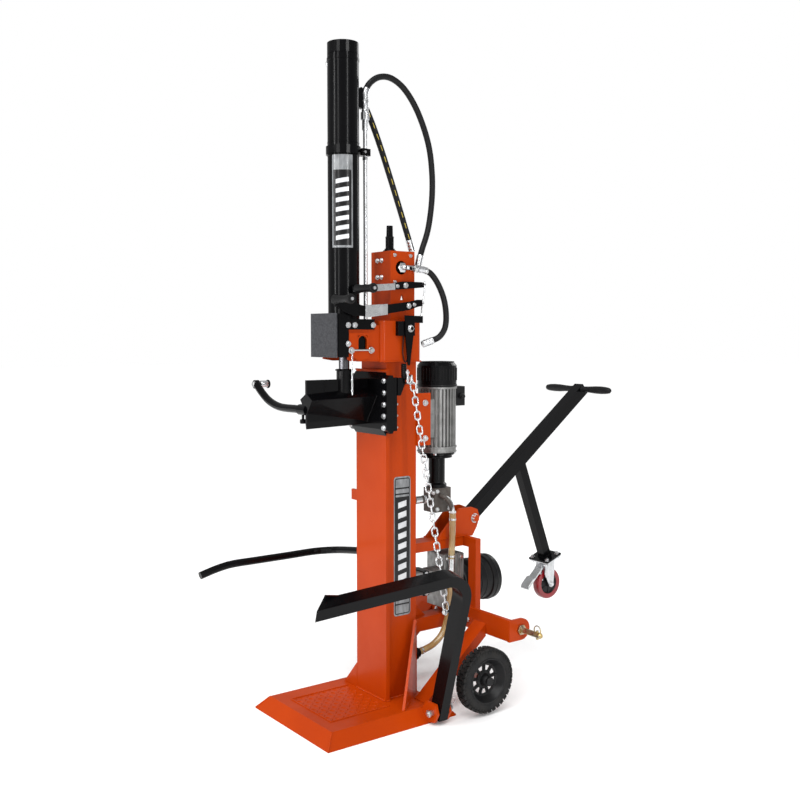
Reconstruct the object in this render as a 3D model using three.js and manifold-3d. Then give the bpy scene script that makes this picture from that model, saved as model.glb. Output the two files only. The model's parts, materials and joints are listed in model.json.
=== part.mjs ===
// Vertical hydraulic log splitter with an electric motor and a tractor shaft drive.
// Millimetres, +Z up, +X to the machine's right, -Y to the front where the log stands.
// Origin: centre of the base plate's footprint, on the floor.
import * as THREE from "three";
import { mergeVertices } from "three/addons/utils/BufferGeometryUtils.js";
import { ConvexGeometry } from "three/addons/geometries/ConvexGeometry.js";
import Module from "manifold-3d";

// ---------- Driving dimensions ----------
const GAP = 0.3; // between pieces that touch
const DEG = Math.PI / 180;

const BASE = { halfX: 262.5, halfY: 288, height: 50, skirt: 43, sheet: 8 };
const FLANGE = { halfX: 98.5, front: 78, thick: 16, top: 1310 };
const TANK = { halfX: 82, rear: 232, top: 1470, wall: 6 };
const SLEEVE = { halfX: 103, front: 55, rear: 243, bottom: 1342, top: 1495, corner: 20 };
const BARREL = { y: -43, radius: 58, bore: 45, bottom: 1385, top: 2460, gland: 40 };
const OVERALL = 2502; // floor to the top of the cylinder cap
const ROD = { radius: 20, bottom: 1236, top: 2430, piston: 50 };
const PIPE = { x: 20, y: 40, radius: 7.5, top: 2200 };
const HOSE = 11.5; // hose radius
const CLEAR_HOSE = 13; // radius of the clear suction hose
const CARRIAGE = { halfX: 128, front: 60, rear: 94, bottom: 1066, top: 1303, lip: 25 };
const WEDGE = { front: -209, top: 1278, edge: 1099, rearEdge: 1106, blade: 12 };
const BOX = { left: -55, right: 70, front: 120, rear: 233, top: 1757, sheet: 6 };
const LEVER = { y: 178, z: 1628, x: 81 };
const HOLD = { y: 175, z: 1551, x: 105 };
const CRANK = { y: 171, z: 1466, x: 122 };
const GRIP = { length: 108, end: 18, waist: 13, bore: 6.4 };
const MOTOR = { y: 400, radius: 76, cover: 79, bottom: 977, shield: 1001, top: 1237, fan: 1335 };
const PUMP = { y: 403, halfX: 35, halfY: 42, bottom: 735, top: 832 };
const RAIL = { halfX: 40, bottom: 587, top: 625, rear: 531 };
const POST = { inner: 75, outer: 120, front: 505 };
const BAR = { halfX: 335, front: 486, thick: 18, bottom: 265, top: 348 };
const HITCH = { y: 545, z: 305, radius: 11, inner: 318, outer: 454 };
const AXLE = { y: 379, z: 136, radius: 12, halfX: 353 };
const WHEEL = { radius: 125, inner: 295, outer: 345 };
const PTO = { z: 431, radius: 17.5, shaftRear: 612 };
const HANDLE = { y: 567, z: 693, half: 25, tail: 58, length: 817, rise: 37.5 };
const CASTER = { y: 1013, z: 468, lean: 20.9, radius: 68, halfX: 18, drop: 117, trail: 33 };
const LIFTER = { x: 288, z: 50, lean: 15.3, halfX: 30, front: 165, rear: 205, bend: 75, reach: 560 };
const CHAIN = { radius: 8, top: [140, 166, 1290], end: [338, 176, 440], upper: 540 };
const ARM = { y: -198, z: 1168, radius: 15, tip: -395, tipZ: 1247 };

// ---------- Materials ----------
const paint = (color, roughness, metalness) => new THREE.MeshStandardMaterial({ color, roughness, metalness });
const MATERIALS = {
  orange: () => paint(0xcc4208, 0.35, 0.1),
  black: () => paint(0x121314, 0.35, 0.2),
  grey: () => paint(0x5c5c60, 0.6, 0.3),
  zinc: () => paint(0xb9bcc0, 0.3, 0.9),
  gold: () => paint(0xa8893a, 0.35, 0.9),
  aluminium: () => paint(0x8d8f8c, 0.45, 0.8),
  rubber: () => paint(0x17181a, 0.75, 0),
  amber: () => paint(0xb98f55, 0.3, 0),
  red: () => paint(0xa01018, 0.4, 0),
};

// ---------- Solids ----------
const wasm = await Module();
wasm.setup();

function solid(geometry) {
  const bare = geometry.index ? geometry.toNonIndexed() : geometry.clone();
  bare.deleteAttribute("normal");
  bare.deleteAttribute("uv");
  const merged = mergeVertices(bare, 1e-3);
  const vertProperties = new Float32Array(merged.attributes.position.array);
  const triVerts = new Uint32Array(merged.index.array);
  return new wasm.Manifold(new wasm.Mesh({ numProp: 3, vertProperties, triVerts }));
}

function geometryOf(manifold) {
  const mesh = manifold.getMesh();
  const geometry = new THREE.BufferGeometry();
  geometry.setAttribute("position", new THREE.BufferAttribute(mesh.vertProperties, 3));
  geometry.setIndex(new THREE.BufferAttribute(mesh.triVerts, 1));
  geometry.computeVertexNormals();
  return geometry;
}

const join = (...pieces) => geometryOf(pieces.map(solid).reduce((a, b) => a.add(b)));
const cut = (piece, ...tools) => geometryOf(tools.map(solid).reduce((a, b) => a.subtract(b), solid(piece)));

function box(x0, x1, y0, y1, z0, z1) {
  const geometry = new THREE.BoxGeometry(x1 - x0, y1 - y0, z1 - z0);
  return geometry.translate((x0 + x1) / 2, (y0 + y1) / 2, (z0 + z1) / 2);
}

function hull(points) {
  return new ConvexGeometry(points.map((p) => new THREE.Vector3(...p)));
}

// A round bar between two points.
function bar(from, to, radius, sides = 16) {
  const a = new THREE.Vector3(...from);
  const b = new THREE.Vector3(...to);
  const along = b.clone().sub(a);
  const geometry = new THREE.CylinderGeometry(radius, radius, along.length(), sides);
  const turn = new THREE.Quaternion().setFromUnitVectors(new THREE.Vector3(0, 1, 0), along.clone().normalize());
  geometry.applyQuaternion(turn);
  return geometry.translate(...a.add(b).multiplyScalar(0.5).toArray());
}

// A ring or a stepped shaft: [radius, height] points turned round an axis, "x", "y" or "z".
function turned(points, axis = "z", sides = 24) {
  const geometry = new THREE.LatheGeometry(points.map((p) => new THREE.Vector2(...p)), sides);
  if (axis === "z") geometry.rotateX(Math.PI / 2);
  if (axis === "x") geometry.rotateZ(-Math.PI / 2);
  return geometry;
}

function counterClockwise(outline) {
  const points = outline.map((p) => new THREE.Vector2(...p));
  return THREE.ShapeUtils.isClockWise(points) ? points.reverse() : points;
}

// A closed outline, given in the two axes across the one that it is extruded along.
function slab(axis, from, to, outline, holes = []) {
  const shape = outline instanceof THREE.Shape ? outline : new THREE.Shape(counterClockwise(outline));
  holes.forEach((hole) => shape.holes.push(hole));
  const geometry = new THREE.ExtrudeGeometry(shape, { depth: to - from, bevelEnabled: false, curveSegments: 8 });
  if (axis === "x") geometry.applyMatrix4(new THREE.Matrix4().set(0, 0, 1, from, 1, 0, 0, 0, 0, 1, 0, 0, 0, 0, 0, 1));
  if (axis === "y") geometry.rotateX(Math.PI / 2).translate(0, to, 0);
  if (axis === "z") geometry.translate(0, 0, from);
  return geometry;
}

function roundHole(u, v, radius) {
  const hole = new THREE.Path();
  hole.absarc(u, v, radius, 0, 2 * Math.PI, true);
  return hole;
}

// The same span on the left (-1) or the right (1) of the middle.
const span = (side, inner, outer) => (side > 0 ? [inner, outer] : [-outer, -inner]);

// A round tube or cord along a smooth curve through its points.
function hose(points, radius, steps, sides = 10) {
  const path = new THREE.CatmullRomCurve3(points.map((p) => new THREE.Vector3(...p)), false, "centripetal");
  const section = new THREE.Shape();
  section.absarc(0, 0, radius, 0, 2 * Math.PI);
  const options = { steps, bevelEnabled: false, extrudePath: path, curveSegments: sides / 2 };
  return new THREE.ExtrudeGeometry(section, options);
}

// ---------- Scene graph ----------
const splitter = new THREE.Group();

function add(name, geometry, material, parent = splitter) {
  const mesh = new THREE.Mesh(geometry, MATERIALS[material]());
  mesh.name = name;
  parent.add(mesh);
  return mesh;
}

function groupAt(x, y, z, parent = splitter) {
  const group = new THREE.Group();
  group.position.set(x, y, z);
  parent.add(group);
  return group;
}

// ---------- Base, column and head ----------
function makeBase() {
  const frustum = (inset, drop) => {
    const corners = [];
    for (const sx of [-1, 1]) {
      for (const sy of [-1, 1]) {
        corners.push([sx * (BASE.halfX - inset), sy * (BASE.halfY - inset), -drop]);
        corners.push([sx * (BASE.halfX - inset - BASE.skirt), sy * (BASE.halfY - inset - BASE.skirt), BASE.height - drop]);
      }
    }
    return hull(corners);
  };
  const shell = cut(frustum(0, 0), frustum(4, BASE.sheet));
  const rib = box(-BASE.halfX + 60, BASE.halfX - 60, -20, 20, 0, BASE.height - 2);
  const left = slab("y", 77, 87, [[-190, BASE.height - 1], [-99, BASE.height - 1], [-99, 150]]);
  const foot = [[209, 76], [94, 219]];
  const right = hull(
    [-3.9, 3.9].flatMap((side) => [
      [foot[0][0] + side, foot[0][1] + side * 0.8, BASE.height - 1],
      [foot[1][0] + side, foot[1][1] + side * 0.8, BASE.height - 1],
      [foot[1][0] + side, foot[1][1] + side * 0.8, 342],
    ]),
  );
  const { x, z, front, rear } = LIFTER;
  const ear = [[248, 4], [300, 14], [318, 48], [306, 84], [250, 84], [223, 44]];
  const ears = [front - 14, rear + 4].map((y) => slab("y", y, y + 10, ear));
  const hinge = bar([x, front - 26, z], [x, rear + 26, z], 10, 16);
  add("base_plate", join(shell, rib, left, right, hinge, ...ears), "orange");
}

function makeColumn() {
  const floor = BASE.height + GAP;
  const tankFront = FLANGE.front + FLANGE.thick;
  const inner = TANK.halfX - TANK.wall;
  const outer = join(
    box(-FLANGE.halfX, FLANGE.halfX, FLANGE.front, tankFront, floor, FLANGE.top),
    box(-TANK.halfX, TANK.halfX, tankFront - 2, TANK.rear, floor, TANK.top),
    box(-200, -TANK.halfX + 2, 122, 134, 784, 826),
    box(-35, 35, TANK.rear - 2, BAR.front - GAP, 268, 322),
    slab("x", -5, 5, [[TANK.rear - 2, 320], [340, 320], [TANK.rear - 2, 420]]),
  );
  const oil = box(-inner, inner, tankFront, TANK.rear - TANK.wall, floor - 5, TANK.top - TANK.wall);
  add("column", cut(outer, oil), "orange");
}

function makeHead() {
  const { halfX, front, rear, corner, bottom, top } = SLEEVE;
  const outline = new THREE.Shape();
  outline.absarc(halfX - corner, rear - corner, corner, 0, Math.PI / 2);
  outline.absarc(-halfX + corner, rear - corner, corner, Math.PI / 2, Math.PI);
  outline.absarc(-halfX + corner, front + corner, corner, Math.PI, 1.5 * Math.PI);
  outline.absarc(halfX - corner, front + corner, corner, 1.5 * Math.PI, 2 * Math.PI);
  const room = box(-TANK.halfX - 2, TANK.halfX + 2, 92, TANK.rear + 2, bottom - 5, top - 8);
  const flangeRoom = box(-FLANGE.halfX - 1, FLANGE.halfX + 1, 76, 96, bottom - 5, bottom - 1);
  const crankBlock = box(halfX - 2, CRANK.x - GAP, 120, 195, 1440, 1492);
  add("head_sleeve", cut(join(slab("z", bottom, top, outline), crankBlock), room, flangeRoom), "orange");

  // The bracket's two cheeks carry the cylinder. The right one has a hooked slot.
  const cheek = [[-83, 1352], [-83, 1478], [SLEEVE.front - GAP, 1478], [SLEEVE.front - GAP, 1345], [-40, 1345]];
  const slot = new THREE.Path();
  slot.moveTo(-44, 1388);
  slot.lineTo(-44, 1420);
  slot.absarc(-22.5, 1420, 21.5, Math.PI, 0, true);
  slot.lineTo(-1, 1388);
  slot.closePath();
  const saddle = cut(
    box(-80, 80, -83, SLEEVE.front - GAP, 1455, 1470),
    bar([0, BARREL.y, 1400], [0, BARREL.y, 1500], BARREL.radius + GAP, 32),
    bar([PIPE.x, PIPE.y, 1400], [PIPE.x, PIPE.y, 1500], PIPE.radius + 2, 12),
  );
  add("head_bracket", join(slab("x", 79, 87, cheek, [slot]), slab("x", -87, -79, cheek), saddle), "orange");
  add("guard_plate", box(-88, 88, -133, -129, 1360, 1521), "grey");
  const arm = [[-128, 1362], [-128, 1519], [-84, 1519], [-84, 1500], [30, 1500], [30, 1462], [-84, 1462], [-84, 1362]];
  const strap = box(-93, 93, -128.7, -124, 1480, 1515);
  add("guard_frame", join(slab("x", 87.5, 93.5, arm), slab("x", -93.5, -87.5, arm), strap), "black");
}

// ---------- Cylinder, rod and pipes ----------
function makeCylinder() {
  const { radius, bore, bottom, top, gland } = BARREL;
  const axis = groupAt(0, BARREL.y, 0);
  const hole = ROD.radius + GAP;
  const barrel = [[hole, bottom], [radius, bottom], [radius, top], [bore, top], [bore, bottom + gland], [hole, bottom + gland], [hole, bottom]];
  add("cylinder_barrel", turned(barrel, "z", 32), "black", axis);
  const spigot = bore - GAP;
  const cap = [[0, top - 20], [spigot, top - 20], [spigot, top + GAP], [radius, top + GAP], [radius, OVERALL], [0, OVERALL]];
  add("cylinder_cap", turned(cap, "z", 32), "black", axis);
  const crown = ROD.top - ROD.piston;
  const rod = [[0, ROD.bottom], [ROD.radius, ROD.bottom], [ROD.radius, crown], [bore - GAP, crown], [bore - GAP, ROD.top], [0, ROD.top]];
  add("piston_rod", turned(rod, "z", 24), "zinc", axis);

  const ring = turned([[radius + GAP, 2100], [radius + 6, 2100], [radius + 6, 2130], [radius + GAP, 2130], [radius + GAP, 2100]], "z", 32);
  ring.translate(0, BARREL.y, 0);
  const block = cut(
    box(PIPE.x - 16, PIPE.x + 16, 16, PIPE.y + 14, 2102, 2128),
    bar([PIPE.x, PIPE.y, 2000], [PIPE.x, PIPE.y, 2200], PIPE.radius + GAP, 16),
    bar([0, BARREL.y, 2000], [0, BARREL.y, 2200], radius + GAP, 32),
  );
  add("pipe_clamp", join(ring, block), "black");

  const foot = 14.5;
  const run = hose([[PIPE.x, foot, 1428], [PIPE.x, 27, 1430], [PIPE.x, 38, 1442], [PIPE.x, PIPE.y, 1500], [PIPE.x, PIPE.y, PIPE.top]], PIPE.radius, 24, 12);
  const nut = [[0, PIPE.top - 2], [11, PIPE.top - 2], [11, 2235], [16, 2235], [16, 2262], [12, 2262], [12, 2301], [0, 2301]];
  const fitting = turned(nut, "z", 12).translate(PIPE.x, PIPE.y, 0);
  add("pressure_pipe", join(run, fitting), "zinc");
}

function makeHoses() {
  const supply = [[20, 40, 2302], [20, 41, 2335], [21, 62, 2372], [22, 105, 2400], [24, 160, 2402], [26, 222, 2367], [28, 282, 2290], [32, 328, 2180], [36, 344, 2069], [40, 340, 1960], [45, 318, 1850], [50, 284, 1768], [52, 268, 1722], [53, 262, 1700]];
  add("hose_supply", hose(supply, HOSE, 44), "rubber");
  const back = [[-30, 20, 2352], [-30, 40, 2345], [-24, 62, 2310], [-15, 92, 2245], [-8, 130, 2150], [-4, 170, 2045], [-2, 210, 1940], [0, 243, 1850], [2, 262, 1796], [4, 272, 1764]];
  add("hose_return", hose(back, HOSE, 32), "rubber");
  const feed = [[92, 230.5, 1691.5], [95, 262, 1687], [100, 290, 1674], [110, 316, 1636], [118, 338, 1580], [120, 348, 1520], [116, 346, 1470], [106, 328, 1436], [95, 298, 1420], [86, 274, 1411], [82, 262, 1406]];
  add("hose_feed", hose(feed, HOSE, 26), "rubber");
  const suction = [[70, 425, 733], [71, 425, 715], [71, 424, 640], [70, 420, 560], [70, 417, 480], [71, 414, 412], [71, 404, 335], [70, 380, 262], [70, 335, 222], [70, 280, 205], [70, 240, 200]];
  add("suction_hose", hose(suction, CLEAR_HOSE, 30), "amber");
}

// ---------- Valve and levers ----------
function makeValve() {
  const { left, right, front, rear, top, sheet } = BOX;
  const floor = SLEEVE.top + GAP;
  const shell = cut(
    box(left, right, front, rear, floor, top),
    box(left + sheet, right - sheet, front + sheet, rear + 5, floor - 5, top - sheet),
    bar([right - 20, 170, 1695], [right + 20, 170, 1695], 26, 20),
    slab("x", left - 5, right + 5, [[166, 1574], [180, 1574], [173, 1598]]),
    bar([0, 167, top - 20], [0, 167, top + 20], 12, 16),
    bar([right - 20, 214, 1741], [right + 20, 214, 1741], 4, 8),
  );
  add("valve_box", shell, "orange");
  const block = box(-30, 45, 127, 205, 1640, top - sheet - GAP);
  const elbow = hose([[40, 170, 1695], [74, 170, 1695], [86, 176, 1695], [92, 192, 1694], [92, 228, 1692]], 9, 12, 12);
  add("valve_body", cut(join(block, elbow), bar([0, 167, 1600], [0, 167, 1800], 8.4, 16)), "black");
  const spool = [[0, 1600], [8, 1600], [8, 1800], [5, 1800], [5, 1835], [0, 1835]];
  add("valve_spool", turned(spool, "z", 12), "zinc", groupAt(0, 167, 0));
  const base = top + GAP;
  const cap = [[0, 1847], [10, 1847], [10, base], [20, base], [20, 1770], [16, 1770], [16, 1810], [17, 1814], [13, 1818], [12, 1857], [0, 1857]];
  add("spool_cap", turned(cap, "z", 16), "black", groupAt(0, 167, 0));
}

function grip(name, x, y, z) {
  const { length, end, waist, bore } = GRIP;
  const outline = [[bore, 0], [end, 0], [end, 6], [waist, 26], [waist, length - 26], [end, length - 6], [end, length], [bore, length], [bore, 0]];
  add(name, turned(outline, "x", 20), "rubber", groupAt(x, y, z));
}

function makeLevers() {
  const blade = [[268, 1640], [252, 1642], [165, 1642], [120, 1634], [-36, 1622], [-56, 1616], [-56, 1598], [-36, 1596], [120, 1610], [165, 1614], [252, 1622], [268, 1624]];
  const tip = [-45, 1609];
  const spigot = bar([LEVER.x + 2, ...tip], [LEVER.x + 122, ...tip], 6, 12);
  const pivot = bar([BOX.right + GAP, LEVER.y, LEVER.z], [LEVER.x + 16, LEVER.y, LEVER.z], 6, 12);
  add("control_lever", join(slab("x", LEVER.x, LEVER.x + 6, blade.slice().reverse()), spigot, pivot), "zinc");
  grip("control_grip", LEVER.x + 8, ...tip);

  const fork = [[238, 1574], [216, 1574], [178, 1566], [98, 1556], [-2, 1545], [-42, 1550], [-72, 1562], [-147, 1585], [-172, 1578], [-174, 1562], [-122, 1530], [-72, 1512], [-2, 1510], [98, 1524], [178, 1536], [216, 1548], [238, 1552]];
  const knob = [-157, 1568];
  const holdSpigot = bar([HOLD.x + 2, ...knob], [HOLD.x + 122, ...knob], 6, 12);
  const holdPivot = bar([BOX.right + GAP, HOLD.y, HOLD.z], [HOLD.x + 14, HOLD.y, HOLD.z], 6, 12);
  add("hold_lever", join(slab("x", HOLD.x, HOLD.x + 6, fork.slice().reverse()), holdSpigot, holdPivot), "zinc");
  grip("hold_grip", HOLD.x + 8, ...knob);

  const link = [[100, 259, 1645], [100, 257, 1600], [101, 247, 1562], [110, 236, 1530], [112, 229, 1500]];
  add("lever_link", hose(link, 2.5, 12, 8), "zinc");

  const arm = [[146, 1515], [147, 1455], [153, 1390], [160, 1328], [168, 1328], [177, 1390], [187, 1455], [187, 1487], [229, 1487], [229, 1513]];
  const boss = bar([CRANK.x - 2, CRANK.y, CRANK.z], [CRANK.x + 16, CRANK.y, CRANK.z], 7, 12);
  const plate = slab("x", CRANK.x + 0.2, CRANK.x + 6, arm);
  add("trip_crank", join(plate, cut(boss, box(0, CRANK.x + 0.2, 0, 300, 1400, 1500))), "black");
}

// ---------- Carriage and wedge ----------
function makeCarriage() {
  const { halfX, front, rear, bottom, top, lip } = CARRIAGE;
  const back = FLANGE.front - 0.5;
  const low = bottom + lip;
  const high = top - lip;
  const tray = [[front, low], [back - 1, bottom], [back, bottom], [back, top], [back - 1, top], [front, high]];
  const cheek = [[front, low], [76, low - 15], [88, low - 15], [rear, low], [rear, high], [88, high + 15], [76, high + 15], [front, high]];
  const inner = FLANGE.halfX + 1.5;
  const middle = slab("x", -inner - 1, inner + 1, tray);
  add("wedge_carriage", join(middle, slab("x", inner, halfX, cheek), slab("x", -halfX, -inner, cheek)), "black");
  for (const [name, a, b] of [["retaining_strip_left", -halfX, -87], ["retaining_strip_right", 87, halfX]]) {
    add(name, box(a, b, rear + 0.5, 108, low - 6, high + 6), "black");
  }
  const brace = [[112, 1284], [112, 1217], [122, 1217], [143, 1262], [146, 1284]];
  const leaf = box(92, 132, 108 + GAP, 114, 1217, 1284);
  const stem = bar([129, 138, 1280], [129, 138, 1336], 10, 12);
  const tab = box(128, 146, 138, 150, 1276, 1284);
  add("chain_bracket", join(slab("x", 126, 132, brace), leaf, stem, tab), "black");
}

function makeWedge() {
  const root = CARRIAGE.front - GAP;
  const kite = (y, halfWidth, upper, middle, lower) => [[0, y, upper], [halfWidth, y, middle], [0, y, lower], [-halfWidth, y, middle]];
  const cheeks = hull([...kite(WEDGE.front, 41, 1230, 1206, 1148), ...kite(root, 68, 1246, 1214, 1110)]);
  const half = WEDGE.blade / 2;
  const fin = box(-half, half, WEDGE.front, root, 1180, WEDGE.top);
  const blade = hull([-1, 1].flatMap((s) => [
    [s * half, WEDGE.front, 1180],
    [s * half, root, 1180],
    [s * half, WEDGE.front, 1125],
    [s * half, root, 1130],
    [s, WEDGE.front, WEDGE.edge],
    [s, root, WEDGE.rearEdge],
  ]));
  const socket = bar([0, BARREL.y, 1215], [0, BARREL.y, 1312], 29, 24);
  const bore = bar([0, BARREL.y, ROD.bottom - GAP], [0, BARREL.y, 1400], ROD.radius + GAP, 24);
  const boss = bar([-5, ARM.y, ARM.z], [-60, ARM.y, ARM.z], 20, 16);
  const seat = bar([-38, ARM.y, ARM.z], [-90, ARM.y, ARM.z], ARM.radius + 2 * GAP, 16);
  add("splitting_wedge", cut(join(cheeks, fin, blade, socket, boss), bore, seat), "black");
}

function makeSideArm() {
  const path = [[-40, 0], [-70, 0], [-100, 0], [-150, -1], [-200, 0], [-250, 7], [-300, 22], [-340, 43], [-372, 64], [ARM.tip + 4, ARM.tipZ - ARM.z]];
  const eye = bar([ARM.tip, ARM.y - 9, ARM.tipZ], [ARM.tip, ARM.y + 9, ARM.tipZ], 17, 16);
  const pin = bar([ARM.tip, ARM.y, ARM.tipZ], [ARM.tip, ARM.y + 58, ARM.tipZ], 5, 10);
  add("side_arm", join(hose(path.map(([x, rise]) => [x, ARM.y, ARM.z + rise]), ARM.radius, 22, 12), eye, pin), "black");
  const near = ARM.y + 17;
  const roller = [[5.4, 0], [12, 0], [12, 32], [17, 33], [17, 38], [5.4, 38], [5.4, 0]];
  add("arm_roller", turned(roller, "y", 16), "zinc", groupAt(ARM.tip, near, ARM.tipZ));
}

// ---------- Log lifter and its chain ----------
function makeLifter() {
  const { x, z, lean, halfX, front, rear, bend, reach } = LIFTER;
  const tilted = groupAt(x, 0, z);
  tilted.rotation.y = lean * DEG;
  const wall = 4;
  const depth = rear - front;
  const elbow = { y: front - bend, z: reach - depth / 2 - bend };
  const outline = (inset) => {
    const shape = new THREE.Shape();
    shape.moveTo(front + inset, inset ? -40 : -25);
    shape.lineTo(rear - inset, inset ? -40 : -25);
    shape.absarc(elbow.y, elbow.z, bend + depth - inset, 0, Math.PI / 2);
    shape.absarc(elbow.y, elbow.z, bend + inset, Math.PI / 2, 0, true);
    shape.closePath();
    return shape;
  };
  const hinge = bar([0, front - 10, 0], [0, rear + 10, 0], 10 + 2 * GAP, 20);
  const tube = cut(slab("x", -halfX, halfX, outline(0)), slab("x", -halfX + wall, halfX - wall, outline(wall)), hinge);
  const tab = box(-halfX - 28, -halfX + 1, 187, 193, 378, 406);
  add("lifter_post", join(tube, tab), "black", tilted);

  const droop = 0.055;
  const start = elbow.y - GAP;
  const top = (y) => elbow.z + bend + depth - droop * (start - y);
  const end = { outer: -455, inner: -395 };
  const edge = (px, y) => [[px, y, top(y)], [px, y, top(y) - depth]];
  const beam = hull([...edge(-halfX, start), ...edge(halfX, start), ...edge(halfX, end.outer), ...edge(-halfX, end.inner)]);
  const bore = hull([
    ...[-1, 1].flatMap((s) => [[s * (halfX - wall), start + 5, top(start) - wall], [s * (halfX - wall), start + 5, top(start) - depth + wall]]),
    ...[-1, 1].flatMap((s) => [[s * (halfX - wall), -370, top(-370) - wall], [s * (halfX - wall), -370, top(-370) - depth + wall]]),
  ]);
  const spike = slab("x", -halfX, -halfX + 8, [[end.inner, top(end.inner) - 2], [-330, top(-330) - 2], [end.inner + 4, top(end.inner) + 13]]);
  add("lifter_forearm", join(cut(beam, bore), spike), "black", tilted);

  const a = new THREE.Vector3(...CHAIN.top);
  const b = new THREE.Vector3(...CHAIN.end);
  const fold = a.clone().lerp(b, CHAIN.upper / a.distanceTo(b));
  const toward = b.clone().sub(a).normalize();
  const point = (from, distance) => from.clone().addScaledVector(toward, distance).toArray();
  add("lift_chain_upper", bar(point(a, 4), point(fold, -8), CHAIN.radius, 8), "zinc");
  add("lift_chain_lower", bar(point(fold, 8), point(b, -12), CHAIN.radius, 8), "zinc");
}

function makeGuardBar() {
  const path = [[-83, 164, 576], [-150, 164, 573], [-211, 164, 566], [-300, 163, 553], [-370, 158, 542], [-416, 136, 535], [-436, 94, 533], [-438, -48, 532], [-438, -190, 532], [-438, -300, 531], [-439, -362, 521], [-440, -428, 504]];
  add("guard_bar", hose(path, 15, 30, 12), "black");
}

// ---------- Motor and pump ----------
function makeMotor() {
  const { radius, cover, bottom, shield, top, fan } = MOTOR;
  const axis = groupAt(0, MOTOR.y, 0);
  const fins = 30;
  const outline = [];
  for (let i = 0; i < fins; i += 1) {
    for (const [share, r] of [[0, radius - 9], [0.3, radius - 9], [0.42, radius], [0.88, radius]]) {
      const angle = ((i + share) / fins) * 2 * Math.PI;
      outline.push([r * Math.cos(angle), r * Math.sin(angle)]);
    }
  }
  const finned = slab("z", shield - 1, top, outline);
  const endShield = bar([0, 0, bottom], [0, 0, shield], cover - 2, 32);
  const foot = box(-55, 55, 297 + GAP - MOTOR.y, 345 - MOTOR.y, 1040, 1190);
  const terminals = box(-35, 35, 65, 112, 1162, 1232);
  const stator = bar([0, 0, bottom + 14], [0, 0, top + 5], 45, 24);
  const shaftWay = bar([0, 0, bottom - 5], [0, 0, shield + 5], 16, 16);
  add("motor_body", cut(join(finned, endShield, foot, terminals), stator, shaftWay), "aluminium", axis);
  const low = top + GAP;
  const shell = [[cover, low], [cover, fan - 14], [cover - 12, fan], [20, fan], [20, fan - 4], [cover - 14, fan - 4], [cover - 4, fan - 16], [cover - 4, low], [cover, low]];
  add("fan_cover", turned(shell, "z", 32), "black", axis);
  const rotor = [[0, 862], [19, 862], [19, 905], [12, 905], [12, 1030], [44, 1030], [44, 1200], [12, 1200], [12, 1262], [64, 1262], [64, 1290], [0, 1290]];
  add("motor_rotor", turned(rotor, "z", 20), "zinc", axis);

  const sides = [-1, 1].map((s) => box(Math.min(s * 82, s * 90), Math.max(s * 82, s * 90), TANK.rear + GAP, 297, 1017, 1219));
  const back = box(-84, 84, TANK.rear + GAP, 240, 1017, 1219);
  const front = box(-84, 84, 290, 297, 1025, 1205);
  add("motor_bracket", join(back, front, ...sides), "orange");

  const bell = [[22, 833], [40, 833], [40, 846], [33, 852], [33, 950], [70, 966], [70, bottom - GAP], [22, bottom - GAP], [22, 833]];
  const window = box(-60, -5, -20, 20, 870, 920);
  add("bell_housing", cut(turned(bell, "z", 24), window), "black", axis);

  const { halfX, halfY } = PUMP;
  const block = box(-halfX, halfX, PUMP.y - halfY, PUMP.y + halfY, PUMP.bottom, PUMP.top);
  const outlet = bar([0, PUMP.y, 788], [0, TANK.rear + GAP, 788], 15, 16);
  const elbow = hose([[20, 389, 802], [44, 392, 801], [60, 403, 792], [68, 416, 770], [70, 425, 738 + GAP]], 10, 10, 12);
  add("pump_body", join(block, outlet, elbow), "aluminium");
}

// ---------- Rear frame, hitch and wheels ----------
function makeRearFrame() {
  const start = TANK.rear + GAP;
  const ear = [[366, 622], [556, 622], [578, 655], [594, 695], [582, 728], [552, 740], [487, 740]];
  const pieces = [
    bar([-50, HANDLE.y, HANDLE.z], [50, HANDLE.y, HANDLE.z], 10, 16),
    box(-RAIL.halfX, RAIL.halfX, start, RAIL.rear, RAIL.bottom, RAIL.top),
    box(-POST.outer, POST.outer, POST.front, RAIL.rear, RAIL.bottom, RAIL.top),
    box(-POST.outer, POST.outer, POST.front, RAIL.rear, 268, 322),
  ];
  for (const s of [-1, 1]) {
    pieces.push(box(...span(s, POST.inner, POST.outer), POST.front, RAIL.rear, 270, 620));
    pieces.push(slab("x", ...span(s, 31, 41), ear));
    pieces.push(bar([s * 40, HANDLE.y, HANDLE.z], [s * 54, HANDLE.y, HANDLE.z], 15, 6));
  }
  add("rear_frame", join(...pieces), "orange");
}

function makeHitch() {
  const { halfX, front, thick, bottom, top } = BAR;
  const pieces = [box(-halfX, halfX, front, front + thick, bottom, top)];
  for (const s of [-1, 1]) {
    const ear = new THREE.Shape();
    ear.moveTo(front, bottom - 2);
    ear.lineTo(HITCH.y + 5, bottom - 2);
    ear.absarc(HITCH.y + 5, HITCH.z, 42, -Math.PI / 2, Math.PI / 2);
    ear.lineTo(front, top - 1);
    ear.closePath();
    pieces.push(slab("x", ...span(s, halfX - 6, halfX + 6), ear, [roundHole(HITCH.y, HITCH.z, HITCH.radius + GAP)]));
  }
  add("hitch_bar", join(...pieces), "orange");
  const { radius, inner, outer } = HITCH;
  const collar = halfX + 6 + GAP;
  const outline = [[0, inner], [17, inner], [17, 328.7], [radius, 328.7], [radius, collar], [17, collar], [17, collar + 5], [radius, collar + 5], [radius, outer - 6], [radius - 4, outer], [0, outer]];
  const right = turned(outline, "x", 16);
  add("hitch_pin_right", right, "gold", groupAt(0, HITCH.y, HITCH.z));
  const left = turned(outline, "x", 16).rotateZ(Math.PI);
  add("hitch_pin_left", left, "gold", groupAt(0, HITCH.y, HITCH.z));
}

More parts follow.
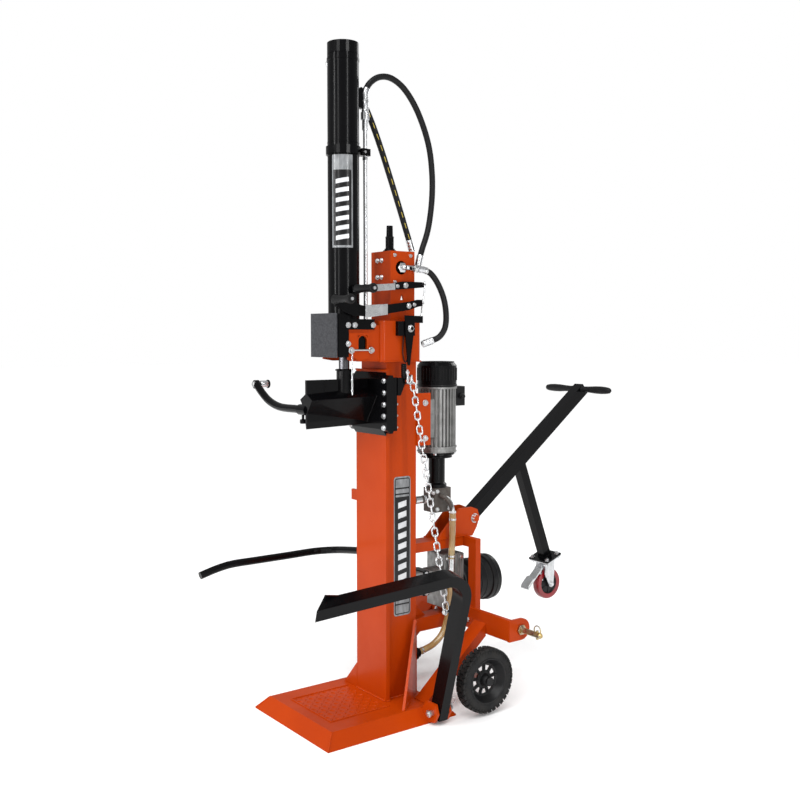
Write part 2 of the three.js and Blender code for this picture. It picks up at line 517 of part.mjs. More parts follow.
function makeWheels() {
  const { y, z, radius, halfX } = AXLE;
  const low = BASE.height + GAP;
  const end = BAR.front - GAP;
  const brace = [[186, low], [242, low], [end, 257], [end, 307]];
  const web = [[330, 170], [352, 118], [379, 106], [402, 118], [420, 225]];
  const bore = bar([-halfX, y, z], [halfX, y, z], radius + GAP, 20);
  for (const [name, s] of [["wheel_brace_left", -1], ["wheel_brace_right", 1]]) {
    const strut = join(slab("x", ...span(s, 135, 205), brace), slab("x", ...span(s, 184, 196), web));
    add(name, cut(strut, bore), "orange");
  }
  const shaft = [[0, -halfX], [17, -halfX], [17, -346.5], [radius, -346.5], [radius, 346.5], [17, 346.5], [17, halfX], [0, halfX]];
  add("axle", turned(shaft, "x", 20), "zinc", groupAt(0, y, z));
  const { radius: r, inner, outer } = WHEEL;
  const b = radius + GAP;
  const rim = [[b, inner + 4], [26, inner + 4], [26, inner + 18], [86, inner + 18], [88, inner], [112, inner], [r, inner + 10]];
  const face = [[r, outer - 10], [112, outer], [88, outer], [84, outer - 16], [26, outer - 12], [26, outer], [b, outer], [b, inner + 4]];
  add("wheel_right", turned([...rim, ...face], "x", 32), "rubber", groupAt(0, y, z));
  add("wheel_left", turned([...rim, ...face], "x", 32).rotateZ(Math.PI), "rubber", groupAt(0, y, z));
}

function makeTractorDrive() {
  const bore = bar([0, 440, PTO.z], [0, 600, PTO.z], PTO.radius + 1, 20);
  const gearbox = join(
    box(-52, 52, 395, 500, 352, 560),
    bar([0, 340, PTO.z + 30], [0, 396, PTO.z + 30], 46, 20),
    box(-45, 45, 262, 342, 416, 506),
  );
  add("pto_gearbox", cut(gearbox, bore), "aluminium");
  const shaft = turned([[0, 445], [PTO.radius, 445], [PTO.radius, PTO.shaftRear], [0, PTO.shaftRear]], "y", 20);
  add("pto_shaft", shaft, "zinc", groupAt(0, 0, PTO.z));
  const y0 = 500 + GAP;
  const cone = [[40, y0], [70, y0], [70, 538], [86, 552], [86, 628], [94, 632], [94, 673], [90, 673], [90, 635], [82, 631], [82, 555], [66, 541], [66, y0 + 5], [40, y0 + 5], [40, y0]];
  add("pto_guard", turned(cone, "y", 28), "black", groupAt(0, 0, PTO.z));
}

// ---------- Tow handle and caster ----------
function makeHandle() {
  const { half, tail, length, rise } = HANDLE;
  const tilted = groupAt(0, HANDLE.y, HANDLE.z);
  tilted.rotation.x = rise * DEG;
  const tube = cut(
    box(-half, half, -tail, length + 20, -half, half),
    box(-half + 4, half - 4, -tail - 5, length - 20, -half + 4, half - 4),
    bar([-60, 0, 0], [60, 0, 0], 10 + 2 * GAP, 20),
  );
  const cross = turned([[0, -192], [9, -190], [14, -170], [16, -120], [12, -60], [10, -20], [10, 20], [12, 60], [16, 120], [14, 170], [9, 190], [0, 192]], "x", 16);
  add("tow_handle", join(tube, cross.translate(0, length, 12)), "black", tilted);

  const foot = groupAt(0, CASTER.y, CASTER.z);
  foot.rotation.x = CASTER.lean * DEG;
  const leg = hull([-20, 20].flatMap((x) => [[x, -20, 2], [x, 20, 2], [x, 20, 449], [x, -20, 437]]));
  const plate = box(-58, 58, -44, 44, -4, 4);
  add("handle_strut", join(leg, plate), "black", foot);

  const drop = -CASTER.drop;
  const trail = -CASTER.trail;
  const raceway = turned([[0, -24], [27, -24], [27, -14], [34, -12], [34, -4 - GAP], [0, -4 - GAP]], "z", 20);
  const cheek = [[-30, -14], [-52, -60], [trail - 12, drop - 6], [trail, drop - 16], [trail + 12, drop - 6], [14, -50], [28, -14]];
  const pieces = [raceway, box(-30, 30, -32, 26, -24, -16)];
  pieces.push(slab("x", 26, 30, cheek), slab("x", -30, -26, cheek));
  pieces.push(bar([-36, trail, drop], [36, trail, drop], 6, 12));
  add("caster_fork", join(...pieces), "zinc", foot);
  const { radius, halfX } = CASTER;
  const wheel = [[6.4, -22], [14, -22], [14, -halfX], [radius - 3, -halfX], [radius, -halfX + 4], [radius, halfX - 4], [radius - 3, halfX], [14, halfX], [14, 22], [6.4, 22], [6.4, -22]];
  add("caster_wheel", turned(wheel, "x", 28), "red", groupAt(0, trail, drop, foot));
  const pedal = [[-54, -36], [-60, -40], [-150, -74], [-152, -70], [-60, -34], [-56, -28], [-38, -28], [-38, -36]];
  add("brake_pedal", slab("x", -20, 20, pedal), "zinc", foot);
}

makeBase();
makeColumn();
makeHead();
makeCylinder();
makeHoses();
makeValve();
makeLevers();
makeCarriage();
makeWedge();
makeSideArm();
makeLifter();
makeGuardBar();
makeMotor();
makeRearFrame();
makeHitch();
makeWheels();
makeTractorDrive();
makeHandle();

export default splitter;
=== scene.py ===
"""The looks of a vertical log splitter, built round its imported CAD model.

Metres, +Z up, +X to the machine's right, -Y to the front. Every piece rides on a CAD body.
"""

import json
from math import cos, pi, radians, sin

import bmesh
import bpy
from mathutils import Matrix, Vector, noise


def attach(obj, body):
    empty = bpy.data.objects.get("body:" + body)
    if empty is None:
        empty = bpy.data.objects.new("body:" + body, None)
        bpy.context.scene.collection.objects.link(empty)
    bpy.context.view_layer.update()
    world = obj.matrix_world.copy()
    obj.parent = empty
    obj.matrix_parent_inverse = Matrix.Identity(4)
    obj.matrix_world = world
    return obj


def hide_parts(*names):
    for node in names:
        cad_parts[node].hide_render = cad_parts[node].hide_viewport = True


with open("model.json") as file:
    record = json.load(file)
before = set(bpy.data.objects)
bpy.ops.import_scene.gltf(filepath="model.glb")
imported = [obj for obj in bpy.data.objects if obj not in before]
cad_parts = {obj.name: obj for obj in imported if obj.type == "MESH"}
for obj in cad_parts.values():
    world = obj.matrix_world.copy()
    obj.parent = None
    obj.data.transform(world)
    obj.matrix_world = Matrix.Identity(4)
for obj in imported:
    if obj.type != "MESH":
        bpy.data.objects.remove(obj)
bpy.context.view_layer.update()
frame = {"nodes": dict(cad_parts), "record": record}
nodes = frame["nodes"]

# ---------- Directions, and the places that several pieces share, in millimetres ----------
MM = 0.001
RIGHT, FRONT, BACK = (1, 0, 0), (0, -1, 0), (0, 1, 0)
UP, DOWN = (0, 0, 1), (0, 0, -1)
CYLINDER_Y = -43
MOTOR_Y = 400
GEAR_PUMP_Z = 461
DRIVE_Z = 431
AXLE_Y, AXLE_Z = 379, 136
HITCH_Y, HITCH_Z = 545, 305
HANDLE_Y, HANDLE_Z = 567, 693
HINGE_X, HINGE_Z = 288, 50
ARM_TIP_X, ARM_TIP_Z = -395, 1247
HOSE_RADIUS, CLEAR_HOSE_RADIUS = 11.5, 13.0
HEX_CORNER = 0.5774  # a hexagon's corner radius for a width of 1 across its flats

noise.seed_set(1)  # noise_vector takes its starting place from this seed


def put(name, data):
    """A new object in the scene."""
    made = bpy.data.objects.new(name, data)
    bpy.context.scene.collection.objects.link(made)
    return made


# ---------- Camera, lights and floor ----------
def make_camera():
    data = bpy.data.cameras.new("camera")
    data.lens = 44.756
    data.sensor_width = 36.0
    data.clip_end = 100.0
    camera = put("camera", data)
    camera.location = (3.0957, -2.0864, 1.4478)
    looks_down, turned_left = 3.8306, 53.3571
    camera.rotation_euler = (radians(90 - looks_down), 0.0, radians(turned_left))
    bpy.context.scene.camera = camera


def area_light(name, place, target, size, power):
    data = bpy.data.lights.new(name, "AREA")
    data.shape = "RECTANGLE"
    data.size, data.size_y = size
    data.energy = power
    light = put(name, data)
    light.location = place
    aim = Vector(target) - Vector(place)
    light.rotation_euler = aim.to_track_quat("-Z", "Y").to_euler()


def make_studio():
    """A world that is whiter as background than as light, a wide soft sun, four lamps and the floor."""
    white = (1.0, 1.0, 1.0, 1.0)
    world = bpy.data.worlds.new("studio")
    world.use_nodes = True
    tree = world.node_tree
    soft = tree.nodes["Background"]
    soft.inputs["Color"].default_value = white
    soft.inputs["Strength"].default_value = 0.42
    plain = tree.nodes.new("ShaderNodeBackground")
    plain.inputs["Color"].default_value = white
    plain.inputs["Strength"].default_value = 1.0
    rays = tree.nodes.new("ShaderNodeLightPath")
    either = tree.nodes.new("ShaderNodeMixShader")
    tree.links.new(rays.outputs["Is Camera Ray"], either.inputs["Fac"])
    tree.links.new(soft.outputs["Background"], either.inputs[1])
    tree.links.new(plain.outputs["Background"], either.inputs[2])
    tree.links.new(either.outputs["Shader"], tree.nodes["World Output"].inputs["Surface"])
    bpy.context.scene.world = world
    bpy.context.scene.view_settings.view_transform = "Standard"
    sun = bpy.data.lights.new("sky", "SUN")
    sun.energy = 2.45
    sun.angle = radians(50)
    sky = put("sky", sun)
    sky.rotation_euler = Vector((-1.0, 1.3, -2.4)).to_track_quat("-Z", "Y").to_euler()
    middle = (0.0, 0.1, 1.3)
    area_light("front_strip", (-0.7, -4.4, 2.0), middle, (0.3, 3.6), 70.0)
    area_light("key", (1.6, -4.4, 2.6), middle, (0.5, 3.2), 36.0)
    area_light("side", (4.8, -0.2, 2.2), middle, (0.3, 3.6), 64.0)
    area_light("back", (-1.2, 4.4, 2.8), middle, (1.6, 2.4), 45.0)
    floor_mesh = bpy.data.meshes.new("floor")
    half = 40.0
    corners = [(-half, -half, 0), (half, -half, 0), (half, half, 0), (-half, half, 0)]
    floor_mesh.from_pydata(corners, [], [(0, 1, 2, 3)])
    floor = put("floor", floor_mesh)
    floor.data.materials.append(MATERIAL["floor"])


# ---------- Materials ----------
class Shader:
    """A small helper round one Principled material's nodes."""

    def __init__(self, name, color, roughness, metallic=0.0, **sockets):
        self.material = bpy.data.materials.new(name)
        self.material.use_nodes = True
        self.tree = self.material.node_tree
        self.bsdf = self.tree.nodes["Principled BSDF"]
        self.color = (*color, 1.0)
        self.set("Base Color", self.color)
        self.set("Roughness", roughness)
        self.set("Metallic", metallic)
        for key, value in sockets.items():
            self.set(key.replace("_", " "), value)
        self.coords = self.tree.nodes.new("ShaderNodeTexCoord")

    def set(self, socket, value):
        self.bsdf.inputs[socket].default_value = value

    def node(self, kind, **values):
        made = self.tree.nodes.new(kind)
        for key, value in values.items():
            made.inputs[key.replace("_", " ")].default_value = value
        return made

    def link(self, a, b):
        self.tree.links.new(a, b)

    def texture(self, scale, detail=4.0, stretch=(1, 1, 1), cells=False):
        """Noise, or cells with their distance from the middle, laid out in the piece's own frame."""
        mapping = self.node("ShaderNodeMapping")
        mapping.inputs["Scale"].default_value = stretch
        self.link(self.coords.outputs["Object"], mapping.inputs["Vector"])
        if cells:
            made = self.node("ShaderNodeTexVoronoi", Scale=scale)
        else:
            made = self.node("ShaderNodeTexNoise", Scale=scale, Detail=detail, Roughness=0.6)
        self.link(mapping.outputs["Vector"], made.inputs["Vector"])
        return made.outputs["Distance" if cells else "Fac"]

    def spread(self, source, low, high, start=0.35, end=0.65):
        """source, remapped from start..end to low..high."""
        made = self.node("ShaderNodeMapRange", From_Min=start, From_Max=end, To_Min=low, To_Max=high)
        self.link(source, made.inputs["Value"])
        return made.outputs["Result"]

    def vary_roughness(self, scale, low, high, **pattern):
        source = self.texture(scale, **pattern)
        self.link(self.spread(source, low, high), self.bsdf.inputs["Roughness"])

    def vary_color(self, scale, other, start=0.4, end=0.62, **pattern):
        source = self.texture(scale, **pattern)
        mix = self.node("ShaderNodeMix")
        mix.data_type = "RGBA"
        mix.inputs[6].default_value = self.color
        mix.inputs[7].default_value = (*other, 1.0)
        self.link(self.spread(source, 0.0, 1.0, start, end), mix.inputs[0])
        self.link(mix.outputs[2], self.bsdf.inputs["Base Color"])

    def bump(self, scale, strength, distance, **pattern):
        source = self.texture(scale, **pattern)
        made = self.node("ShaderNodeBump", Strength=strength, Distance=distance)
        self.link(source, made.inputs["Height"])
        previous = self.bsdf.inputs["Normal"]
        if previous.is_linked:
            self.link(previous.links[0].from_socket, made.inputs["Normal"])
        self.link(made.outputs["Normal"], previous)


MATERIAL = {}


def coat(slot, name, color, roughness, metallic=0.0, **sockets):
    """A new material, kept under its slot's name."""
    shader = Shader(name, color, roughness, metallic, **sockets)
    MATERIAL[slot] = shader.material
    return shader


def make_materials():
    orange = coat(
        "orange_paint", "orange_enamel", (0.42, 0.042, 0.001), 0.34, Coat_Weight=0.06, Coat_Roughness=0.08,
        Specular_IOR_Level=0.1)
    orange.vary_color(2.2, (0.37, 0.035, 0.001))
    orange.vary_roughness(9.0, 0.32, 0.44)
    orange.bump(150.0, 0.10, 0.0005, detail=2.0)

    black = coat(
        "black_paint", "black_enamel", (0.002, 0.002, 0.0024), 0.2, Coat_Weight=0.06, Coat_Roughness=0.05,
        Specular_IOR_Level=0.1)
    black.vary_roughness(7.0, 0.16, 0.26)
    black.bump(130.0, 0.10, 0.0005, detail=2.0)

    hammer = coat("hammertone", "grey_hammertone", (0.075, 0.076, 0.084), 0.46, 0.3)
    hammer.vary_color(210.0, (0.030, 0.031, 0.036), 0.1, 0.6, cells=True)
    hammer.bump(210.0, 0.7, 0.0016, cells=True)

    zinc = coat("zinc", "zinc_plate", (0.66, 0.67, 0.69), 0.3, 1.0)
    zinc.vary_color(30.0, (0.55, 0.56, 0.56))
    zinc.vary_roughness(60.0, 0.22, 0.38)
    zinc.bump(400.0, 0.05, 0.0004)

    rod = coat("dark_rod", "hard_chrome", (0.10, 0.10, 0.11), 0.16, 1.0)
    rod.vary_roughness(60.0, 0.12, 0.24, stretch=(1, 1, 12))
    rod.bump(300.0, 0.03, 0.0003, stretch=(1, 1, 8))

    gold = coat("gold_zinc", "yellow_zinc", (0.50, 0.36, 0.13), 0.34, 1.0)
    gold.vary_color(40.0, (0.42, 0.38, 0.30))
    gold.vary_roughness(70.0, 0.26, 0.46)

    cast = coat("cast_aluminium", "cast_aluminium", (0.30, 0.30, 0.295), 0.46, 0.85)
    cast.vary_color(24.0, (0.22, 0.22, 0.215))
    cast.vary_roughness(50.0, 0.38, 0.6)
    cast.bump(420.0, 0.16, 0.0006)

    iron = coat("cast_iron", "pump_casting", (0.075, 0.062, 0.055), 0.55, 0.5)
    iron.vary_color(40.0, (0.11, 0.10, 0.09))
    iron.bump(260.0, 0.3, 0.001)

    hose = coat("hose_rubber", "hose_cover", (0.005, 0.005, 0.0055), 0.42, Specular_IOR_Level=0.22)
    hose.vary_roughness(40.0, 0.42, 0.62)
    hose.bump(900.0, 0.25, 0.0004, stretch=(1, 1, 0.2))

    amber = coat(
        "clear_hose", "oil_filled_hose", (0.42, 0.25, 0.09), 0.14, Coat_Weight=0.5, Coat_Roughness=0.06)
    amber.set("Transmission Weight", 0.45)
    amber.vary_color(9.0, (0.52, 0.38, 0.17))
    amber.bump(50.0, 0.1, 0.001)

    tyre = coat("tyre_black", "tyre_rubber", (0.009, 0.009, 0.0095), 0.62, Specular_IOR_Level=0.25)
    tyre.vary_color(30.0, (0.018, 0.017, 0.016))
    tyre.vary_roughness(60.0, 0.62, 0.85)
    tyre.bump(500.0, 0.3, 0.0005)

    red = coat("red_tread", "red_polyurethane", (0.24, 0.003, 0.008), 0.28, Coat_Weight=0.4)
    red.vary_color(20.0, (0.19, 0.003, 0.007))
    red.bump(200.0, 0.08, 0.0005)

    plastic = coat("rim_plastic", "black_plastic", (0.005, 0.005, 0.0055), 0.34, Specular_IOR_Level=0.25)
    plastic.vary_roughness(40.0, 0.32, 0.5)
    plastic.bump(600.0, 0.15, 0.0004)

    panel = coat(
        "panel_black", "decal_black", (0.004, 0.004, 0.0045), 0.3, Coat_Weight=0.1, Specular_IOR_Level=0.25)
    panel.vary_color(5.0, (0.009, 0.009, 0.010), stretch=(1, 1, 0.4))
    panel.bump(200.0, 0.03, 0.0003)
    shade = coat("panel_grey", "decal_grey", (0.12, 0.125, 0.13), 0.3, Coat_Weight=0.3)
    shade.vary_color(60.0, (0.28, 0.29, 0.30), 0.3, 0.7, stretch=(1, 1, 0.3))
    pale = coat("panel_white", "decal_white", (0.66, 0.67, 0.68), 0.32, Coat_Weight=0.3)
    pale.vary_color(30.0, (0.55, 0.56, 0.58))
    yellow = coat("yellow_ink", "hose_line", (0.62, 0.48, 0.06), 0.5)
    yellow.vary_color(60.0, (0.5, 0.38, 0.05))
    ground = coat("floor", "pale_floor", (0.95, 0.95, 0.95), 0.7, Specular_IOR_Level=0.1)
    ground.set("Emission Color", (1.0, 1.0, 1.0, 1.0))
    ground.set("Emission Strength", 0.06)


# ---------- Mesh building ----------
def across(axis):
    """Two directions at right angles to axis and to each other."""
    w = Vector(axis).normalized()
    helper = Vector(UP) if abs(w.z) < 0.9 else Vector(RIGHT)
    u = helper.cross(w).normalized()
    return u, w.cross(u), w


def turned(place, angle, axis="X"):
    return Matrix.Translation(place) @ Matrix.Rotation(angle, 4, axis)


class Maker:
    """Collects simple solids, in millimetres, into one mesh piece."""

    def __init__(self):
        self.bm = bmesh.new()

    def verts(self, points):
        return [self.bm.verts.new(Vector(p) * MM) for p in points]

    def faces(self, corners, sets):
        for numbers in sets:
            self.bm.faces.new([corners[i] for i in numbers])

    def box(self, x0, x1, y0, y1, z0, z1, matrix=None):
        corners = [(x, y, z) for z in (z0, z1) for y in (y0, y1) for x in (x0, x1)]
        if matrix:
            corners = [matrix @ Vector(c) for c in corners]
        sides = ((0, 2, 3, 1), (4, 5, 7, 6), (0, 1, 5, 4), (1, 3, 7, 5), (3, 2, 6, 7), (2, 0, 4, 6))
        self.faces(self.verts(corners), sides)

    def prism(self, outline, low, high, axis="z", matrix=None):
        """A closed outline extruded along axis. The outline is (y, z), (x, z) or (x, y)."""
        def place(a, b, c):
            p = {"x": (c, a, b), "y": (a, c, b), "z": (a, b, c)}[axis]
            return matrix @ Vector(p) if matrix else p

        bottom = self.verts([place(a, b, low) for a, b in outline])
        top = self.verts([place(a, b, high) for a, b in outline])
        self.bm.faces.new(bottom[::-1])
        self.bm.faces.new(top)
        count = len(outline)
        for i in range(count):
            j = (i + 1) % count
            self.bm.faces.new((bottom[i], bottom[j], top[j], top[i]))

    def lathe(self, profile, origin, axis, sides=32):
        """(radius, height) points turned round axis from origin. Off the axis they close into a ring."""
        u, v, w = across(axis)
        base = Vector(origin)
        rings = []
        for radius, height in profile:
            centre = base + w * height
            if radius < 1e-6:
                rings.append(self.verts([centre]))
                continue
            turn = [2 * pi * i / sides for i in range(sides)]
            rings.append(self.verts([centre + (u * cos(t) + v * sin(t)) * radius for t in turn]))
        if profile[0][0] > 0:
            rings.append(rings[0])
        for low, high in zip(rings, rings[1:]):
            for i in range(sides):
                j = (i + 1) % sides
                if len(low) == 1 and len(high) > 1:
                    self.bm.faces.new((low[0], high[j], high[i]))
                elif len(high) == 1 and len(low) > 1:
                    self.bm.faces.new((low[i], low[j], high[0]))
                elif len(low) > 1:
                    self.bm.faces.new((low[i], low[j], high[j], high[i]))

    def disc(self, place, axis, radius, height, sides):
        self.lathe([(0, 0), (radius, 0), (radius, height), (0, height)], place, axis, sides)

    def rod(self, a, b, radius, sides=24):
        """A round bar from a to b with its end edges broken."""
        a, b = Vector(a), Vector(b)
        length = (b - a).length
        cut = min(radius, length) * 0.08
        flat, far = radius - cut, length - cut
        self.lathe(
            [(0, 0), (flat, 0), (radius, cut), (radius, far), (flat, length), (0, length)], a, b - a, sides)

    def tube(self, points, radius, sides=16, cyclic=False, flat=1.0):
        """A bar swept along points. radius is a number or a function of the share of the way.

        flat is the section's second width as a share of its first.
        """
        path = [Vector(p) for p in points]
        count = len(path)
        rings = []
        side = None
        for i, here in enumerate(path):
            before = path[i - 1] if i or cyclic else here
            after = path[(i + 1) % count] if i < count - 1 or cyclic else here
            along = (after - before).normalized()
            if side is None:
                side = across(along)[0]
            side = (side - along * side.dot(along)).normalized()
            other = along.cross(side)
            r = radius(i / (count - 1)) if callable(radius) else radius
            ring = []
            for k in range(sides):
                t = 2 * pi * k / sides
                ring.append(here + (side * cos(t) + other * sin(t) * flat) * r)
            rings.append(self.verts(ring))
        pairs = list(zip(rings, rings[1:]))
        if cyclic:
            pairs.append((rings[-1], rings[0]))
        else:
            self.bm.faces.new(rings[0][::-1])
            self.bm.faces.new(rings[-1])
        for low, high in pairs:
            for k in range(sides):
                j = (k + 1) % sides
                self.bm.faces.new((low[k], low[j], high[j], high[k]))

    def bolt(self, place, axis, width=17.0, head=8.0, washer=True):
        """A hexagon head with a washer, standing on place and pointing along axis."""
        base = Vector(place)
        w = Vector(axis).normalized()
        lift = 0.0
        if washer:
            r = width * 0.72
            self.lathe([(0, 0), (r, 0), (r, 1.4), (r - 0.4, 1.8), (0, 1.8)], base, w, 20)
            lift = 1.7
        r = width * HEX_CORNER
        self.lathe([(0, 0), (r, 0), (r, head * 0.82), (r * 0.88, head), (0, head)], base + w * lift, w, 6)

    def nut(self, place, axis, width=17.0, height=8.0, stud=4.0):
        """A hexagon nut on place, with its stud standing out of it."""
        base = Vector(place)
        w = Vector(axis).normalized()
        r = width * HEX_CORNER
        flat, low, high = r * 0.88, height * 0.16, height * 0.84
        self.lathe([(0, 0), (flat, 0), (r, low), (r, high), (flat, height), (0, height)], base, w, 6)
        self.rod(base + w * height * 0.9, base + w * (height + stud), width * 0.29, 12)

    def ring(self, centre, axis, radius, wire, steps=28, sides=8):
        u, v, _ = across(axis)
        turn = [2 * pi * i / steps for i in range(steps)]
        points = [Vector(centre) + (u * cos(t) + v * sin(t)) * radius for t in turn]
        self.tube(points, wire, sides, cyclic=True)

    def weld(self, points, radius=3.0):
        """A rippled weld bead along straight runs between points."""
        path = []
        for a, b in zip(points, points[1:]):
            a, b = Vector(a), Vector(b)
            steps = max(2, int((b - a).length / 1.6))
            path += [a.lerp(b, i / steps) for i in range(steps)]
        path.append(Vector(points[-1]))
        for i, p in enumerate(path):
            path[i] = p + noise.noise_vector(p * 0.11) * 0.5
        count = len(path)
        self.tube(path, lambda s: radius * (1 + 0.16 * sin(s * count * 1.7)), 8)

    def done(self, name, material, body="frame", bevel=0.0, segments=2, angle=35.0, stands_for=()):
        """Turns what was collected into one piece that rides on body."""
        bmesh.ops.recalc_face_normals(self.bm, faces=self.bm.faces)
        mesh = bpy.data.meshes.new(name)
        self.bm.to_mesh(mesh)
        self.bm.free()
        piece = put(name, mesh)
        finish_piece(piece, material, bevel, segments, angle)
        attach(piece, body)
        if stands_for:
            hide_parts(*stands_for)


def finish_piece(piece, material, bevel=0.0, segments=2, angle=35.0):
    piece.data.materials.clear()
    piece.data.materials.append(MATERIAL[material])
    for face in piece.data.polygons:
        face.use_smooth = True
    piece.data.set_sharp_from_angle(angle=radians(angle))
    if bevel:
        edge = piece.modifiers.new("edge", "BEVEL")
        edge.width = bevel * MM
        edge.segments = segments
        edge.limit_method = "ANGLE"
        edge.angle_limit = radians(angle)
        edge.harden_normals = False
        edge.miter_outer = "MITER_ARC"


def smooth_path(points, steps):
    """Points on a smooth curve through the given ones, evenly spaced."""
    given = [Vector(p) for p in points]
    padded = [given[0] * 2 - given[1], *given, given[-1] * 2 - given[-2]]
    dense = []
    for a, b, c, d in zip(padded, padded[1:], padded[2:], padded[3:]):
        for i in range(16):
            t = i / 16
            square = (2 * a - 5 * b + 4 * c - d) * t * t
            cube = (3 * b - a - 3 * c + d) * t ** 3
            dense.append(0.5 * (2 * b + (c - a) * t + square + cube))
    dense.append(given[-1])
    lengths = [0.0]
    for a, b in zip(dense, dense[1:]):
        lengths.append(lengths[-1] + (b - a).length)
    path = []
    k = 0
    for i in range(steps + 1):
        target = lengths[-1] * i / steps
        while k < len(lengths) - 2 and lengths[k + 1] < target:
            k += 1
        share = (target - lengths[k]) / max(lengths[k + 1] - lengths[k], 1e-9)
        path.append(dense[k].lerp(dense[k + 1], min(share, 1.0)))
    return path


# ---------- CAD pieces that keep their own shape ----------
# The nodes that get each width of edge, in millimetres.
BEVELS = {
    0.6: "pipe_clamp",
    0.8: "guard_frame valve_body control_lever hold_lever trip_crank chain_bracket splitting_wedge "
         "brake_pedal",
    1.0: "head_bracket guard_plate wedge_carriage retaining_strip_left retaining_strip_right "
         "motor_bracket",
    1.2: "head_sleeve cylinder_cap pump_body hitch_bar",
    1.4: "wheel_brace_left wheel_brace_right",
    1.6: "base_plate",
    1.8: "rear_frame",
    2.0: "lifter_forearm pto_gearbox handle_strut",
    2.2: "column",
    2.4: "lifter_post tow_handle",
    3.0: "valve_box",
}


def dress_nodes():
    slot_of = {s["node"]: s["material_slot"] for s in frame["record"]["subparts"]}
    width_of = {name: width for width, names in BEVELS.items() for name in names.split()}
    for name, piece in nodes.items():
        material = "cast_iron" if name == "pump_body" else slot_of[name]
        angle = 40.0 if name in ("guard_bar", "side_arm") else 30.0
        finish_piece(piece, material, width_of.get(name, 0.0), 2, angle)


# ---------- Base, column and head ----------
def dress_base():
    tread = Maker()
    pitch = 25.0
    lozenge = ((-11.5, 0, 0), (0, -4.2, 0), (11.5, 0, 0), (0, 4.2, 0), (-6, 0, 2.4), (6, 0, 2.4))
    for row in range(10):
        for column in range(11):
            x = (column - 5) * pitch
            y = -184 + row * pitch
            tilt = radians(45 if (row + column) % 2 else -45)
            c, s = cos(tilt), sin(tilt)
            shape = []
            for a, b, h in lozenge:
                shape.append((x + a * c - b * s, y + a * s + b * c, 50 + h))
            sides = ((0, 1, 5, 4), (1, 2, 5), (2, 3, 4, 5), (3, 0, 4), (3, 2, 1, 0))
            tread.faces(tread.verts(shape), sides)
    tread.done("tread_pattern", "orange_paint", angle=20)

    weld = Maker()
    for radius, run in (
        (2.6, [(-140, -199, 51), (140, -199, 51), (140, 62, 51)]),
        (2.6, [(-140, -199, 51), (-140, 62, 51)]),
        (4.0, [(-98, 76, 52), (98, 76, 52)]),
        (4.0, [(100, 78, 52), (100, 94, 52), (84, 96, 52), (84, 230, 52)]),
        (2.4, [(84, 97, 60), (84, 97, 1300)]),
        (3.2, [(212, 79, 52), (104, 213, 52)]),
        (3.0, [(97, 222, 60), (97, 222, 336)]),
        (3.2, [(-98, 76, 1310), (98, 76, 1310), (99, 92, 1311)]),
    ):
        weld.weld(run, radius)
    for sx, sy in ((1, 1), (1, -1), (-1, -1), (-1, 1)):
        weld.weld([(sx * 219, sy * 244.5, 49.5), (sx * 261, sy * 286.5, 3)], 2.6)
    weld.done("weld_beads", "orange_paint")

    pin = Maker()
    pin.rod((HINGE_X, 138, HINGE_Z), (HINGE_X, 232, HINGE_Z), 10.6, 20)
    pin.nut((HINGE_X, 139.5, HINGE_Z), FRONT, 24, 11, 4)
    pin.bolt((HINGE_X, 230.5, HINGE_Z), BACK, 24, 9)
    pin.ring((292, 240, 80), (0.75, -0.6, 0.1), 12.5, 1.4)
    pin.ring((286, 241, 63), (0.1, 1, 0.1), 6, 1.4)
    pin.done("lifter_hinge_pin", "zinc")

    panel_frame = Maker()
    panel_frame.prism(rounded(126, 205, 366, 904, 12), 82.1, 82.6, "x")
    panel_frame.done("column_panel_border", "panel_grey")
    panel = Maker()
    panel.prism(rounded(130, 201, 372, 898, 9), 82.5, 82.9, "x")
    panel.done("column_panel", "panel_black")
    ends = Maker()
    for low, high in ((376, 408), (414, 430), (436, 444), (862, 894), (840, 856), (826, 834)):
        ends.prism(rounded(134, 197, low, high, 3), 82.8, 83.1, "x")
    ends.done("column_panel_ends", "panel_grey")
    bars = Maker()
    for i in range(9):
        z = 462 + i * 40
        bars.prism([(146, z), (185, z + 8), (185, z + 30), (146, z + 22)], 82.8, 83.2, "x")
    bars.done("column_panel_bars", "panel_white")


def rounded(a0, a1, b0, b1, radius, steps=5):
    """A rectangle's outline with round corners."""
    radius = min(radius, (a1 - a0) / 2 - 0.1, (b1 - b0) / 2 - 0.1)
    left, right, low, high = a0 + radius, a1 - radius, b0 + radius, b1 - radius
    outline = []
    for ca, cb, start in ((right, high, 0), (left, high, 90), (left, low, 180), (right, low, 270)):
        for i in range(steps + 1):
            t = radians(start + 90 * i / steps)
            outline.append((ca + radius * cos(t), cb + radius * sin(t)))
    return outline


def arch(half_width, steps):
    """(y, z) points up, over and down the round-topped slot in the head's bracket."""
    middle, foot, spring = -22.5, 1388, 1420
    left, right = middle - half_width, middle + half_width
    turns = [pi - i * pi / steps for i in range(1, steps)]
    crown = [(middle + half_width * cos(t), spring + half_width * sin(t)) for t in turns]
    return [(left, foot), (left, spring), *crown, (right, spring), (right, foot)]


